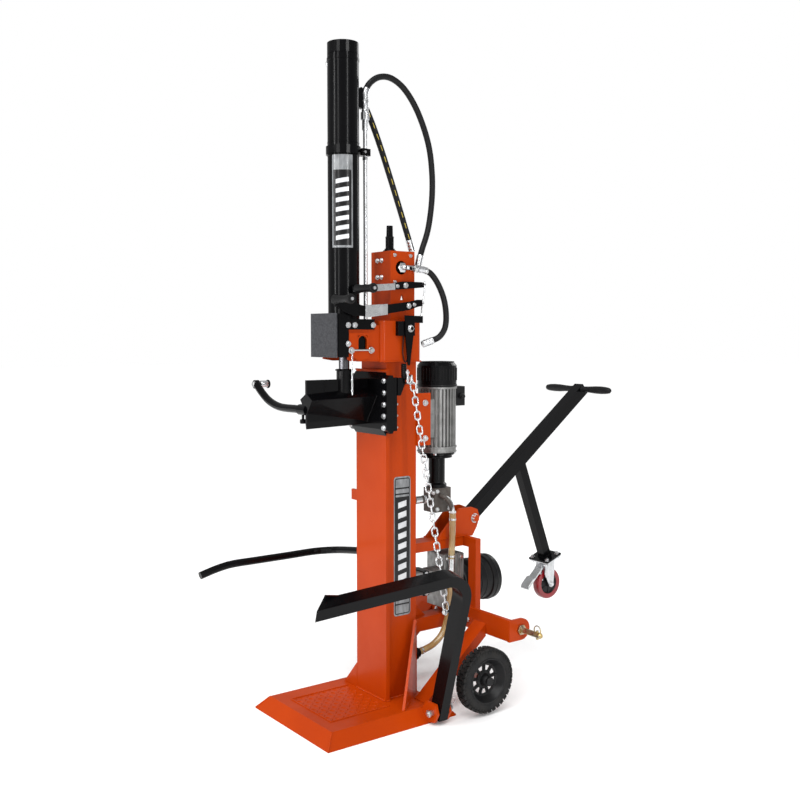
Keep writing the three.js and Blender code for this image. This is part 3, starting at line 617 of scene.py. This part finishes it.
def dress_head():
    rim = Maker()
    rim.tube([(92, y, z) for y, z in arch(21.5, 14)], 2.6, 10)
    for outline in (
        [(-82, 1450), (-82, 1385), (-70, 1362), (-44, 1350), (-44, 1450)],
        [(-1, 1354), (6, 1366), (6, 1450), (-1, 1450)],
        [(-44, 1350), (-40, 1348), (-10, 1352), (-1, 1354), (-1, 1388), (-44, 1388)],
        [(-44, 1441.5), (-1, 1441.5), (-1, 1450), (-44, 1450)],
    ):
        rim.prism(outline, 87.2, 92, "x")
    for radius, run in (
        (2.5, [(88.5, -80, 1350), (88.5, 50, 1346)]),
        (2.5, [(104, 60, 1343), (104, 238, 1343)]),
        (2.5, [(-60, 119, 1497), (74, 119, 1497), (74, 232, 1497)]),
    ):
        rim.weld(run, radius)
    rim.done("bracket_rim", "orange_paint")

    hardware = Maker()
    for y in (-86, -57, 24):
        hardware.bolt((93.5, y, 1478), RIGHT, 15, 6)
    hardware.bolt((93.5, -86, 1410), RIGHT, 15, 6)
    for x in (-12, 14):
        for z in (1660, 1723):
            hardware.bolt((x, 120, z), FRONT, 13, 6)
    for y, z in ((214, 1741), (140, 1741), (140, 1640)):
        hardware.bolt((70, y, z), RIGHT, 10, 5)
    hardware.rod((94.5, -66, 1387), (94.5, 12, 1387), 3.6, 16)
    for y in (-72, 16):
        hardware.bolt((92, y, 1386), RIGHT, 17, 9)
    for z in (1181, 1044):
        hardware.bolt((90, 270, z), RIGHT, 17, 8)
    hardware.done("head_hardware", "zinc")

    # The black box is the trip crank's mount. The black arch plate behind the bracket's slot is painted
    # shade: a dark sheet that stands in for the shaded inside of the slot.
    mount_and_slot_shade = Maker()
    mount_and_slot_shade.box(102.6, 121.9, 118.8, 196.2, 1438.8, 1493.2)
    # Painted shade: a black plate cut to the slot's outline, set just behind the opening.
    mount_and_slot_shade.prism(arch(17.5, 10)[::-1], 80, 85, "x")
    mount_and_slot_shade.done("crank_mount_and_slot_shade", "black_paint", bevel=1.0)

    keeper = Maker()
    top = Vector((100, -74, 1384))
    for i in range(16):
        spot = top + Vector((0, 0, -5 - 10 * i))
        along = RIGHT if i % 2 else BACK
        chain_link(keeper, spot, DOWN, along, 13, 7, 1.1)
    keeper.done("pin_chain", "zinc")


def chain_link(maker, centre, direction, side, length, width, wire, steps=6, sides=8):
    """One welded link: a stadium of round wire."""
    w = Vector(direction).normalized()
    u = Vector(side)
    u = (u - w * u.dot(w)).normalized()
    r = (width - 2 * wire) / 2
    half = (length - 2 * wire) / 2 - r
    points = []
    for sign in (1, -1):
        for i in range(steps + 1):
            t = pi * i / steps
            spot = Vector(centre) + w * (sign * (half + r * sin(t)))
            points.append(spot + u * (sign * r * cos(t)))
    maker.tube(points, wire, sides, cyclic=True)


# ---------- Cylinder, pipe and hoses ----------
def dress_cylinder():
    shell = Maker()
    profile = [(20.3, 1385), (56.5, 1385), (58, 1387), (58, 2459), (45.2, 2459), (45.2, 1425), (20.3, 1425)]
    shell.lathe(profile, (0, CYLINDER_Y, 0), UP, 64)
    shell.done("cylinder_tube", "black_paint", angle=30, stands_for=["cylinder_barrel"])

    bands = Maker()
    for low, high, r in ((2436, 2448, 59.6), (2140, 2146, 59.0), (2094, 2099, 59.2)):
        bands.lathe([(57.5, low), (r, low + 1), (r, high - 1), (57.5, high)], (0, CYLINDER_Y, 0), UP, 64)
    lug = [(4, 2276), (4, 2342), (16, 2352), (26, 2346), (31, 2318), (31, 2280), (24, 2274)]
    bands.prism(lug, 8, 26, "x", Matrix.Translation((-2, 6, 0)))
    bands.rod((34, 18, 2115), (64, 2, 2115), 5, 12)
    bands.done("cylinder_bands", "black_paint", angle=30)

    decal = Maker()
    grid_patch(decal, 58.25, 1760, 2096, -78, 2, 24, 2)
    decal.done("cylinder_panel", "panel_grey", angle=60)
    inner = Maker()
    grid_patch(inner, 58.5, 1768, 2040, -72, -4, 22, 2)
    inner.done("cylinder_panel_inner", "panel_black", angle=60)
    marks = Maker()
    for i in range(7):
        z = 1786 + i * 34
        grid_patch(marks, 58.75, z, z + 16, -62, -14, 12, 1, slope=8)
    marks.done("cylinder_panel_bars", "panel_white", angle=60)

    fitting = Maker()
    centre = (20, 40, 0)
    fitting.lathe([(0, 2196), (10, 2196), (11, 2200), (11, 2234), (0, 2234)], centre, UP, 24)
    fitting.lathe([(0, 2233), (15, 2234), (16.5, 2237), (16.5, 2259), (15, 2262), (0, 2262)], centre, UP, 6)
    fitting.lathe(
        [(0, 2261), (12.6, 2262), (12.6, 2270), (11.8, 2272), (12.8, 2276), (12.8, 2298), (11.5, 2301),
         (0, 2301)],
        centre, UP, 24)
    fitting.lathe([(0, 2086), (10, 2087), (10.6, 2089), (10.6, 2098), (0, 2099)], centre, UP, 6)
    fitting.bolt((36.5, 28, 2115), RIGHT, 10, 5, washer=False)
    plug = Vector((-0.9, -0.43, 0)).normalized()
    seat = Vector((0, CYLINDER_Y, 2436)) + plug * 57
    fitting.disc(seat, plug, 16, 5, 24)
    fitting.lathe([(0, 5), (11, 5), (11, 11), (9.5, 13), (0, 13)], seat, plug, 6)
    fitting.done("pipe_fitting", "zinc")


def grid_patch(maker, radius, z0, z1, a0, a1, across_steps, up_steps, slope=0.0):
    """A thin skin on the cylinder between two heights and two angles round it."""
    rows = []
    for k in range(up_steps + 1):
        row = []
        for i in range(across_steps + 1):
            share = i / across_steps
            t = radians(a0 + (a1 - a0) * share)
            z = z0 + (z1 - z0) * k / up_steps + slope * share
            row.append((t, z))
        rows.append(row)
    skins = []
    for r in (radius, radius - 0.6):
        skin = []
        for row in rows:
            skin.append(maker.verts([(r * cos(t), CYLINDER_Y + r * sin(t), z) for t, z in row]))
        skins.append(skin)
    outer, inner = skins
    for k in range(up_steps):
        for i in range(across_steps):
            maker.bm.faces.new((outer[k][i], outer[k][i + 1], outer[k + 1][i + 1], outer[k + 1][i]))
            maker.bm.faces.new((inner[k][i], inner[k + 1][i], inner[k + 1][i + 1], inner[k][i + 1]))
    for i in range(across_steps):
        maker.bm.faces.new((outer[0][i], inner[0][i], inner[0][i + 1], outer[0][i + 1]))
        maker.bm.faces.new((outer[-1][i], outer[-1][i + 1], inner[-1][i + 1], inner[-1][i]))
    for k in range(up_steps):
        maker.bm.faces.new((outer[k][0], outer[k + 1][0], inner[k + 1][0], inner[k][0]))
        maker.bm.faces.new((outer[k][-1], inner[k][-1], inner[k + 1][-1], outer[k + 1][-1]))


# Each hose's centre line, from its first fitting to its last.
HOSES = {
    "hose_supply": [
        (20, 40, 2302), (20, 41, 2335), (21, 62, 2372), (22, 105, 2400), (24, 160, 2402), (26, 222, 2367),
        (28, 282, 2290), (32, 328, 2180), (36, 344, 2069), (40, 340, 1960), (45, 318, 1850),
        (50, 284, 1768), (52, 268, 1722), (53, 262, 1700)],
    "hose_return": [
        (-30, 20, 2352), (-30, 40, 2345), (-24, 62, 2310), (-15, 92, 2245), (-8, 130, 2150),
        (-4, 170, 2045), (-2, 210, 1940), (0, 243, 1850), (2, 262, 1796), (4, 272, 1764)],
    "hose_feed": [
        (92, 230.5, 1691.5), (95, 262, 1687), (100, 290, 1674), (110, 316, 1636), (118, 338, 1580),
        (120, 348, 1520), (116, 346, 1470), (106, 328, 1436), (95, 298, 1420), (86, 274, 1411),
        (82, 262, 1406)],
    "suction_hose": [
        (70, 425, 733), (71, 425, 715), (71, 424, 640), (70, 420, 560), (70, 417, 480), (71, 414, 412),
        (71, 404, 335), (70, 380, 262), (70, 335, 222), (70, 280, 205), (70, 240, 200)],
}


def start_of(path, length):
    """The first length of a path."""
    part = [path[0]]
    for a, b in zip(path, path[1:]):
        if length <= 0:
            break
        part.append(b)
        length -= (b - a).length
    return part


def make_hoses():
    for name, points in HOSES.items():
        clear = name == "suction_hose"
        radius = CLEAR_HOSE_RADIUS if clear else HOSE_RADIUS
        path = smooth_path(points, 90)
        curve = bpy.data.curves.new(name + "_line", "CURVE")
        curve.dimensions = "3D"
        curve.bevel_depth = radius * MM
        curve.bevel_resolution = 6
        curve.use_fill_caps = True
        spline = curve.splines.new("POLY")
        spline.points.add(len(path) - 1)
        for spot, p in zip(spline.points, path):
            spot.co = (*(p * MM), 1.0)
        spline.use_smooth = True
        cord = put(name + "_cord", curve)
        curve.materials.append(MATERIAL["clear_hose" if clear else "hose_rubber"])
        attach(cord, "frame")
        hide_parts(name)

    crimps = Maker()
    for name in ("hose_supply", "hose_return", "hose_feed"):
        path = smooth_path(HOSES[name], 180)
        for part in (path, path[::-1]):
            crimps.tube(start_of(part, 44), lambda s: 14.0 - 1.1 * abs(sin(s * 11.0)), 20)
    path = smooth_path(HOSES["suction_hose"], 90)
    for spot in (3, 24, 35, 85):
        crimps.tube([path[spot], path[spot + 1]], 14.4, 20)
    crimps.tube(path[26:34], 13.5, 20)
    crimps.tube(
        [(50, 170, 1695), (74, 170, 1695), (84, 174, 1695), (90, 184, 1694.5), (92, 200, 1694),
         (92, 232, 1692)],
        9.6, 16)
    crimps.lathe([(0, 0), (19, 0), (20, 2), (20, 9), (15, 11), (0, 11)], (70.5, 170, 1695), RIGHT, 6)
    crimps.lathe(
        [(0, 0), (14.5, 0), (15.5, 2), (15.5, 14), (14, 16), (0, 16)], (92, 212, 1693), (0, 1, -0.05), 6)
    crimps.done("hose_fittings", "zinc")

    port = Maker()
    port.lathe([(0, 0), (24, 0), (25, 2), (25, 8), (18, 10), (18, 22), (0, 22)], (70, 233, 200), BACK, 24)
    port.done("tank_port", "black_paint")

    line = Maker()
    path = smooth_path(HOSES["hose_return"], 90)
    for i in range(8, 84, 6):
        run = [p + Vector((11.0, -3.6, -2.0)) for p in path[i:i + 4]]
        line.tube(run, 1.3, 6, flat=0.5)
    line.done("hose_line_marks", "yellow_ink")


# ---------- Levers and the spool cap ----------
def dress_levers():
    for name, x, y, z in (("control", 89, -45, 1609), ("hold", 113, -157, 1568)):
        grip = Maker()
        profile = [
            (6.4, 0), (14, 0), (17.2, 1.2), (18, 4), (17.4, 8), (14.4, 22), (13, 36), (13, 72), (14.4, 86),
            (17.4, 100), (18, 104), (17.2, 107), (14, 108), (10, 107.5), (9.4, 104), (9.4, 92), (6.4, 92)]
        grip.lathe(profile, (x, y, z), RIGHT, 32)
        grip.disc((x + 104.5, y, z), RIGHT, 9.2, 3, 20)
        grip.done(name + "_grip_cover", "hose_rubber", name + "_lever", angle=50, stands_for=[name + "_grip"])
    arm = Maker()
    arm.prism(
        [(269, 1640.5), (252, 1642.6), (165, 1642.6), (130, 1636.6), (130, 1610.8), (165, 1613.4),
         (252, 1621.4), (269, 1623.5)],
        80.4, 87.6, "x")
    arm.done("control_lever_arm", "black_paint", "control_lever", bevel=0.6)
    plate = Maker()
    plate.prism(
        [(-16, 1546.2), (-42, 1550.6), (-72, 1562.6), (-147, 1585.6), (-172.6, 1578.4), (-174.6, 1561.8),
         (-122.3, 1529.4), (-72.2, 1511.4), (-16, 1509.6)],
        104.4, 111.6, "x")
    plate.prism(
        [(70, 1553.6), (98, 1556.6), (178, 1566.6), (216, 1574.6), (238.6, 1574.6), (238.6, 1551.4),
         (216, 1547.4), (178, 1535.4), (98, 1523.4), (70, 1519.4)],
        104.4, 111.6, "x")
    plate.done("hold_lever_plate", "black_paint", "hold_lever", bevel=0.6)
    strip = Maker()
    strip.prism([(-24, 1550), (76, 1556.5), (76, 1517), (-24, 1505)], 111, 113.6, "x")
    strip.done("hold_lever_strip", "zinc", "hold_lever", bevel=0.6)
    bolted = (("control", 87.6, ((178, 1628), (140, 1624))), ("hold", 111.6, ((175, 1551), (200, 1556))))
    for name, x, spots in bolted:
        heads = Maker()
        for (y, z), width in zip(spots, (15, 10)):
            heads.bolt((x, y, z), RIGHT, width, 5)
        heads.done(name + "_lever_bolts", "zinc", name + "_lever")
    joints = Maker()
    for left, right, y, z in ((84, 104, 259, 1633), (98, 108, 247, 1562), (110, 122, 229, 1502)):
        joints.rod((left, y, z), (right, y, z), 4, 12)
    joints.done("link_pins", "zinc", "lever_link")
    arm = Maker()
    arm.prism(
        [(-58, 1596), (-58, 1618), (-36, 1624), (60, 1631), (78, 1628), (78, 1608), (60, 1604), (-36, 1595)],
        79.4, 82.4, "x")
    arm.done("control_lever_arm", "black_paint", "control_lever", bevel=0.6)
    plate = Maker()
    plate.prism(
        [(-173, 1560), (-172, 1580), (-147, 1588), (-74, 1565), (-44, 1552), (-44, 1520), (-74, 1511),
         (-122, 1529)],
        103.2, 106.2, "x")
    plate.prism([(-50, 1548), (16, 1545), (30, 1540), (30, 1518), (16, 1510), (-50, 1513)], 111, 113.4, "x")
    plate.done("hold_lever_plate", "black_paint", "hold_lever", bevel=0.6)
    crank = Maker()
    crank.bolt((128, 171, 1466), RIGHT, 19, 8)
    crank.done("crank_bolt", "zinc", "trip_crank")
    collar = Maker()
    collar.lathe([(20.2, 0), (26, 0), (26, 4), (24, 7), (20.2, 7)], (0, 167, 1757.2), UP, 32)
    collar.done("spool_collar", "black_paint")
    cable = Maker()
    loop = [
        (112, 150, 1440), (112, 146, 1400), (111, 148, 1365), (110, 158, 1340), (110, 168, 1350),
        (111, 168, 1390), (112, 162, 1440)]
    cable.tube(smooth_path(loop, 40), 2.2, 8)
    cable.done("trip_cable", "hose_rubber")


# ---------- Carriage and wedge ----------
def dress_wedge():
    bolts = Maker()
    for x in (-110, 110):
        for z in (1272, 1228, 1184, 1141, 1097):
            bolts.bolt((x, 60, z), FRONT, 15, 6)
            # The column's left stub comes close behind the left nuts on the way down.
            width, height, stud = (16, 9, 6) if x > 0 else (15, 7, 2)
            bolts.nut((x, 108, z), BACK, width, height, stud)
    bolts.done("carriage_bolts", "zinc", "wedge")
    weld = Maker()
    weld.weld([(8, 58, 1276), (8, -20, 1276)], 2.6)
    weld.weld([(29, CYLINDER_Y, 1214), (20, -22, 1214), (0, -14, 1214)], 3.0)
    turns = [i * pi / 12 for i in range(24)]
    ring = [(30 * cos(t), CYLINDER_Y + 30 * sin(t), 1312) for t in turns]
    weld.tube(ring, 3.6, 8, cyclic=True)
    weld.weld([(69, 58, 1216), (30, 58, 1160), (2, 58, 1112)], 3.0)
    weld.done("wedge_welds", "black_paint", "wedge")
    stem = Maker()
    for i in range(6):
        stem.ring((129, 138, 1290 + i * 7.5), UP, 9.4, 2.2, 20, 6)
    stem.done("stem_ribs", "black_paint", "wedge")
    shackle = Maker()
    shackle.rod((124, 150, 1262), (150, 150, 1262), 5, 12)
    chain_link(shackle, (140, 158, 1276), (0, 0.25, 1), RIGHT, 38, 22, 3.6)
    shackle.rod((146, 143, 1302), (146, 143, 1262), 4, 12)
    shackle.nut((146, 143, 1300), UP, 13, 7, 6)
    shackle.done("chain_shackle", "zinc", "wedge")
    knob = Maker()
    knob.lathe(
        [(0, 0), (5, 0), (5, 16), (11, 18), (12, 22), (12, 30), (10, 33), (0, 33)], (-40, -198, 1150), DOWN,
        12)
    knob.done("arm_knob", "black_paint", "wedge")
    eye = Maker()
    eye.bolt((ARM_TIP_X, -207, ARM_TIP_Z), FRONT, 17, 6)
    eye.done("arm_eye_bolt", "zinc", "side_arm")
    roller = Maker()
    roller.lathe(
        [(5.6, 0), (13, 0), (14, 1.5), (14, 30), (12, 31.5), (5.6, 31.5)], (ARM_TIP_X, -181, ARM_TIP_Z),
        BACK, 32)
    roller.done("roller_sleeve", "zinc", "arm_roller", stands_for=["arm_roller"])
    flange = Maker()
    flange.lathe(
        [(5.6, 31.6), (16, 31.6), (17, 33), (17, 36.6), (16, 38), (5.6, 38)], (ARM_TIP_X, -181, ARM_TIP_Z),
        BACK, 32)
    flange.done("roller_flange", "black_paint", "arm_roller")


# ---------- Lifter chain ----------
def make_chain():
    top = Vector((140, 166, 1290))
    end = Vector((338, 176, 440))
    length = (end - top).length
    along = (end - top).normalized()
    links, lead = 32, 2
    width, wire = 26, 3.1
    upper_length = 540
    pitch = (length - 2 * lead) / links
    across_view = Vector((0.6, 0.8, 0))
    toward_view = Vector((0.8, -0.6, 0))
    upper, lower = Maker(), Maker()
    for i in range(links):
        reach = lead + pitch * (i + 0.5)
        spot = top + along * reach
        maker = upper if reach < upper_length else lower
        tilt = 0.25 * noise.noise(Vector((i * 1.7, 3.1, 0.4)))
        first, second = (across_view, toward_view) if i % 2 else (toward_view, -across_view)
        side = first * cos(tilt) + second * sin(tilt)
        chain_link(maker, spot, along, side, pitch + 4 * wire, width, wire, 8, 10)
    upper.done("chain_links_upper", "zinc", "chain_upper", angle=60, stands_for=["lift_chain_upper"])
    lower.done("chain_links_lower", "zinc", "chain_lower", angle=60, stands_for=["lift_chain_lower"])
    anchor = Maker()
    anchor.rod((338, 168, 436), (338, 200, 436), 5, 12)
    anchor.bolt((338, 171, 436), FRONT, 17, 7)
    anchor.nut((338, 193.5, 436), BACK, 17, 8, 4)
    anchor.done("chain_anchor_bolt", "zinc", "lifter")


# ---------- Motor and pump ----------
def dress_motor():
    grille = Maker()
    for r in (28, 38, 48, 58, 68):
        grille.ring((0, MOTOR_Y, 1335.5), UP, r, 1.5, 48, 6)
    for i in range(12):
        t = i * pi / 6
        c, s = cos(t), sin(t)
        grille.tube([(20 * c, MOTOR_Y + 20 * s, 1335), (70 * c, MOTOR_Y + 70 * s, 1334.5)], 1.5, 6)
    for i in range(36):
        t = i * pi / 18
        c, s = cos(t), sin(t)
        grille.tube([(79 * c, MOTOR_Y + 79 * s, 1262), (79 * c, MOTOR_Y + 79 * s, 1312)], 1.3, 6)
    grille.lathe([(78, 1240), (80.4, 1241), (80.4, 1246), (78, 1247)], (0, MOTOR_Y, 0), UP, 48)
    grille.done("fan_grille", "rim_plastic", angle=40)

    shield = Maker()
    for low, high in ((977.3, 981), (994, 1001), (1229, 1237.2)):
        shield.lathe(
            [(60, low), (79, low), (80, low + 1), (80, high - 1), (79, high), (60, high)], (0, MOTOR_Y, 0),
            UP, 64)
    shield.done("motor_shields", "cast_aluminium", angle=30)
    bolts = Maker()
    for i in range(4):
        t = radians(45 + 90 * i)
        bolts.bolt((70 * cos(t), MOTOR_Y + 70 * sin(t), 976), DOWN, 12, 6)
    bolts.bolt((30, 361, 815), FRONT, 12, 5)
    for y, z in ((375, 748), (435, 748), (375, 820)):
        bolts.bolt((35, y, z), RIGHT, 12, 5)
    bolts.done("motor_bolts", "zinc")
    box = Maker()
    box.box(-38, 38, 466, 515, 1158, 1236)
    box.box(-30, 30, 514, 519, 1166, 1228)
    box.lathe([(0, 0), (12, 0), (12, 10), (9, 12), (9, 20), (0, 20)], (38, 492, 1196), RIGHT, 12)
    box.done("terminal_box", "rim_plastic", bevel=2.5, segments=3)
    flange = Maker()
    turns = [radians(i * 15) for i in range(24)]
    flange.prism([(62 * cos(t), MOTOR_Y + 62 * sin(t)) for t in turns], 954, 966)
    flange.done("bell_flange", "black_paint", bevel=1.0)
    drip = Maker()
    drip.lathe([(0, 0), (17, 0), (18, 2), (18, 12), (17, 14), (0, 14)], (0, 345, 788), FRONT, 6)
    drip.disc((0, 318, 788), FRONT, 15.6, 30, 20)
    drip.tube([(56, 400, 795), (62, 408, 789), (67, 417, 772), (70, 424, 748), (70, 425, 736)], 10.4, 16)
    drip.disc((70, 425, 742), DOWN, 15, 8, 6)
    drip.done("pump_fittings", "zinc")


# ---------- Rear frame, gearbox and hitch ----------
def dress_rear():
    ribs = Maker()
    for i in range(8):
        y = 404 + i * 12
        ribs.box(-56, 56, y, y + 4, 348, 564)
    ribs.box(-56, 56, 396, 402, 348, 564)
    for i in range(5):
        ribs.lathe([(30, 0), (50, 0), (50, 4), (30, 4)], (0, 346 + i * 10, GEAR_PUMP_Z), BACK, 32)
    ribs.done("gearbox_ribs", "cast_aluminium", bevel=0.8)
    pump = Maker()
    pump.lathe(
        [(0, 0), (40, 0), (44, 3), (44, 14), (38, 16), (38, 60), (34, 64), (0, 64)], (0, 268, GEAR_PUMP_Z),
        BACK, 32)
    pump.box(-49, 49, 296, 324, 412, 510)
    pump.lathe([(0, 0), (14, 0), (15, 2), (15, 18), (0, 18)], (47, 310, GEAR_PUMP_Z), RIGHT, 6)
    pump.done("gear_pump", "rim_plastic", bevel=1.5)
    bolts = Maker()
    for y in (412, 484):
        for z in (366, 546):
            bolts.bolt((52, y, z), RIGHT, 13, 6)
    for z in (422, 500):
        bolts.bolt((49, 310, z), RIGHT, 12, 5)
    for s in (-1, 1):
        bolts.bolt((s * 41, HANDLE_Y, HANDLE_Z), (s, 0, 0), 27, 11)
        bolts.bolt((s * 100, 531, 340), BACK, 17, 7)
        bolts.nut((s * 100, 486, 300), FRONT, 17, 8, 3)
    bolts.done("frame_bolts", "zinc")
    guard = Maker()
    outer = [
        (40, 500.4), (68, 500.6), (70, 503), (70, 538), (85, 551), (86, 554), (86, 627), (87, 629),
        (93, 631), (94, 634), (94, 670), (93, 673)]
    inner = [(91, 673), (90, 671), (90, 635), (82, 631), (82, 555), (66, 541), (66, 506), (40, 505)]
    guard.lathe(outer + inner, (0, 0, DRIVE_Z), BACK, 64)
    guard.done("guard_cone", "rim_plastic", angle=40, stands_for=["pto_guard"])
    rims = Maker()
    for y, r in ((572, 86.4), (600, 86.4), (652, 94.3)):
        rims.ring((0, y, DRIVE_Z), BACK, r, 1.8, 64, 8)
    rims.done("guard_ridges", "rim_plastic")
    spline = Maker()
    for i in range(6):
        turn = turned((0, 0, DRIVE_Z), i * pi / 3, "Y")
        spline.box(-4, 4, 552, 611, 15, 18.6, turn)
    spline.done("shaft_splines", "zinc", "pto_shaft")
    clips = Maker()
    for s in (-1, 1):
        clips.disc((s * 432, HITCH_Y, 322), DOWN, 5, 34, 12)
        clips.ring((s * 432, HITCH_Y, 323), BACK, 17, 2.2, 32, 8)
        clips.lathe(
            [(11.4, 0), (20, 0), (21, 1.5), (21, 9), (20, 10), (11.4, 10)], (s * 341.4, HITCH_Y, HITCH_Z),
            (s, 0, 0), 6)
        clips.lathe([(11.2, 0), (15, 0), (15, 5), (11.2, 5)], (s * 352, HITCH_Y, HITCH_Z), (s, 0, 0), 20)
    clips.done("hitch_clips", "gold_zinc")
    stubs = Maker()
    for s in (-1, 1):
        stubs.lathe(
            [(0, 0), (11, 0), (12, 1), (12, 167), (11, 168), (0, 168)], (s * 185, AXLE_Y, AXLE_Z),
            (s, 0, 0), 28)
        stubs.lathe([(12, 12), (18, 12), (18, 20), (12, 20)], (s * 185, AXLE_Y, AXLE_Z), (s, 0, 0), 28)
    stubs.done("axle_stubs", "zinc", stands_for=["axle"])
    weld = Maker()
    weld.weld([(-41, 505, 626), (41, 505, 626)], 2.6)
    for s in (-1, 1):
        for radius, run in (
            (2.6, [(s * 42, 368, 627), (s * 42, 530, 627)]),
            (2.6, [(s * 120, 504, 349), (s * 76, 504, 349)]),
            (3.0, [(s * 135, 187, 52), (s * 205, 187, 52)]),
        ):
            weld.weld(run, radius)
    weld.weld([(-36, 234, 324), (36, 234, 324)], 3.0)
    weld.done("frame_welds", "orange_paint")


# ---------- Wheels ----------
def wheel(name, side, body, node):
    """One wheel, built outward from its inner face. side is 1 on the right and -1 on the left."""
    out = Vector((side, 0, 0))
    start = Vector((side * 295, AXLE_Y, AXLE_Z))
    tyre = Maker()
    profile = [
        (84, 8), (86, 3), (94, 0), (106, 1), (114, 4), (118, 8), (119.5, 16), (120, 25), (119.5, 34),
        (118, 42), (114, 46), (106, 49), (94, 50), (86, 47), (84, 42)]
    tyre.lathe(profile, start, out, 72)
    lugs = 34
    for i in range(lugs):
        for row, (a, b) in enumerate(((3, 15), (17, 33), (35, 47))):
            t = 2 * pi * (i + 0.5 * (row % 2)) / lugs
            skew = (0.03, 0.0, -0.03)[row]
            half = 0.078
            ring = []
            for r in (116.5, 124.6 if row == 1 else 123.8):
                for along, d in ((a, -half - skew), (a, half - skew), (b, half + skew), (b, -half + skew)):
                    shrink = 0.9 if r > 120 else 1.0
                    angle = t + d * shrink
                    ring.append(start + out * along + Vector((0, cos(angle), sin(angle))) * r)
            sides = ((3, 2, 1, 0), (4, 5, 6, 7), (0, 1, 5, 4), (1, 2, 6, 5), (2, 3, 7, 6), (3, 0, 4, 7))
            tyre.faces(tyre.verts(ring), sides)
    for i in range(48):
        turn = turned(start, 2 * pi * i / 48)
        for at in (0.6, 48.4):
            low, high = sorted((side * at, side * (at + 1.2)))
            tyre.box(low, high, -2.6, 2.6, 100, 113, turn)
    tyre.done(name + "_tyre", "tyre_black", body, angle=28, stands_for=[node])
    rim = Maker()
    rim.lathe(
        [(86, 3), (88, 6), (88, 46), (86, 49), (82, 49), (79, 44), (62, 24), (54, 22), (54, 16), (62, 14),
         (79, 8), (82, 3)],
        start, out, 64)
    rim.lathe(
        [(12.3, 4), (22, 4), (22, 14), (36, 15), (36, 22), (24, 25), (20, 46), (17, 49), (12.3, 49)], start,
        out, 40)
    for i in range(9):
        turn = turned(start, 2 * pi * i / 9)
        for near, far, half, inner, outer in ((15.5, 22.5, 6.5, 34, 56), (22, 25.5, 1.8, 30, 66)):
            low, high = sorted((side * near, side * far))
            rim.box(low, high, -half, half, inner, outer, turn)
    rim.done(name + "_rim", "rim_plastic", body, bevel=1.0)
    hub = Maker()
    hub.lathe(
        [(0, 0), (17, 0), (17.5, 1), (17.5, 6), (15, 8), (0, 8)], (side * 345.4, AXLE_Y, AXLE_Z), out, 28)
    hub.bolt((side * 350, AXLE_Y, AXLE_Z), out, 14, 3, washer=False)
    hub.done(name + "_hub_cap", "rim_plastic")


# ---------- Tow handle and caster ----------
def dress_handle():
    rise, foot_lean = radians(37.5), radians(20.9)
    tilt = turned((0, HANDLE_Y, HANDLE_Z), rise)
    grips = Maker()
    for s in (-1, 1):
        profile = [
            (0, 192), (8, 191), (12, 186), (15, 170), (16.8, 140), (16.4, 110), (13.6, 70), (12.4, 40),
            (13.5, 28), (11, 26), (0, 26)]
        place = tilt @ Vector((0, 817, 12))
        grips.lathe([(r, h) for r, h in profile[::-1]], place, (s, 0, 0), 28)
    grips.done("handle_grips", "hose_rubber", "tow_handle", angle=40)
    foot = turned((0, 1013, 468), foot_lean)
    hardware = Maker()
    up = foot.to_3x3() @ Vector(UP)
    for x in (-44, 44):
        for y in (-32, 32):
            hardware.bolt(foot @ Vector((x, y, 4)), up, 14, 7)
            hardware.bolt(foot @ Vector((x, y, -12)), -up, 13, 6, washer=False)
    hardware.box(-56, 56, -42, 42, -11.5, -4.4, foot)
    hardware.done("caster_plate", "zinc", "tow_handle", bevel=0.8)
    weld = Maker()
    for x in (-21, 21):
        weld.weld([foot @ Vector((x, -21, 6)), foot @ Vector((x, 21, 6))], 2.8)
    weld.weld([foot @ Vector((-21, -21, 6)), foot @ Vector((21, -21, 6))], 2.8)
    weld.done("strut_welds", "black_paint", "tow_handle")

    axle = foot @ Vector((0, -33, -117))
    wheel_piece = Maker()
    profile = [
        (46, -15), (58, -17), (65, -16.4), (67.6, -12), (68, -4), (68, 4), (67.6, 12), (65, 16.4), (58, 17),
        (46, 15)]
    wheel_piece.lathe(profile, axle, RIGHT, 56)
    wheel_piece.done("caster_tread", "red_tread", "caster_wheel", angle=40, stands_for=["caster_wheel"])
    core = Maker()
    core.lathe(
        [(6.6, -22), (15, -22), (16, -12), (40, -9), (47, -15), (49, -14), (49, 14), (47, 15), (40, 9),
         (16, 12), (15, 22), (6.6, 22)],
        axle, RIGHT, 56)
    for i in range(6):
        turn = turned(axle, pi * i / 3)
        core.box(-13, 13, -2.4, 2.4, 14, 46, turn)
    core.done("caster_core", "rim_plastic", "caster_wheel", bevel=0.8)
    fork = Maker()
    for s in (-1, 1):
        fork.bolt(axle + Vector((s * 30, 0, 0)), (s, 0, 0), 16, 7)
    fork.ring(foot @ Vector((0, 0, -13)), up, 31, 2.2, 40, 8)
    fork.done("caster_hardware", "zinc", "caster_fork")
    flap = Maker()
    flap.prism([(-36, -20), (-60, -36), (-66, -86), (-58, -88), (-52, -44), (-34, -30)], -15, 15, "x", foot)
    flap.done("brake_flap", "zinc", "caster_fork", bevel=0.8)
    pad = Maker()
    pad.prism(
        [(-100, -48), (-104, -54), (-158, -79), (-160, -74), (-150, -62), (-112, -46)], -24, 24, "x", foot)
    pad.done("pedal_pad", "zinc", "brake_pedal", bevel=1.2, segments=3)


make_materials()
make_camera()
make_hoses()
make_studio()
dress_nodes()
dress_base()
dress_head()
dress_cylinder()
dress_levers()
dress_wedge()
make_chain()
dress_motor()
dress_rear()
wheel("right", 1, "wheel_right", "wheel_right")
wheel("left", -1, "wheel_left", "wheel_left")
dress_handle()

bpy.context.view_layer.update()
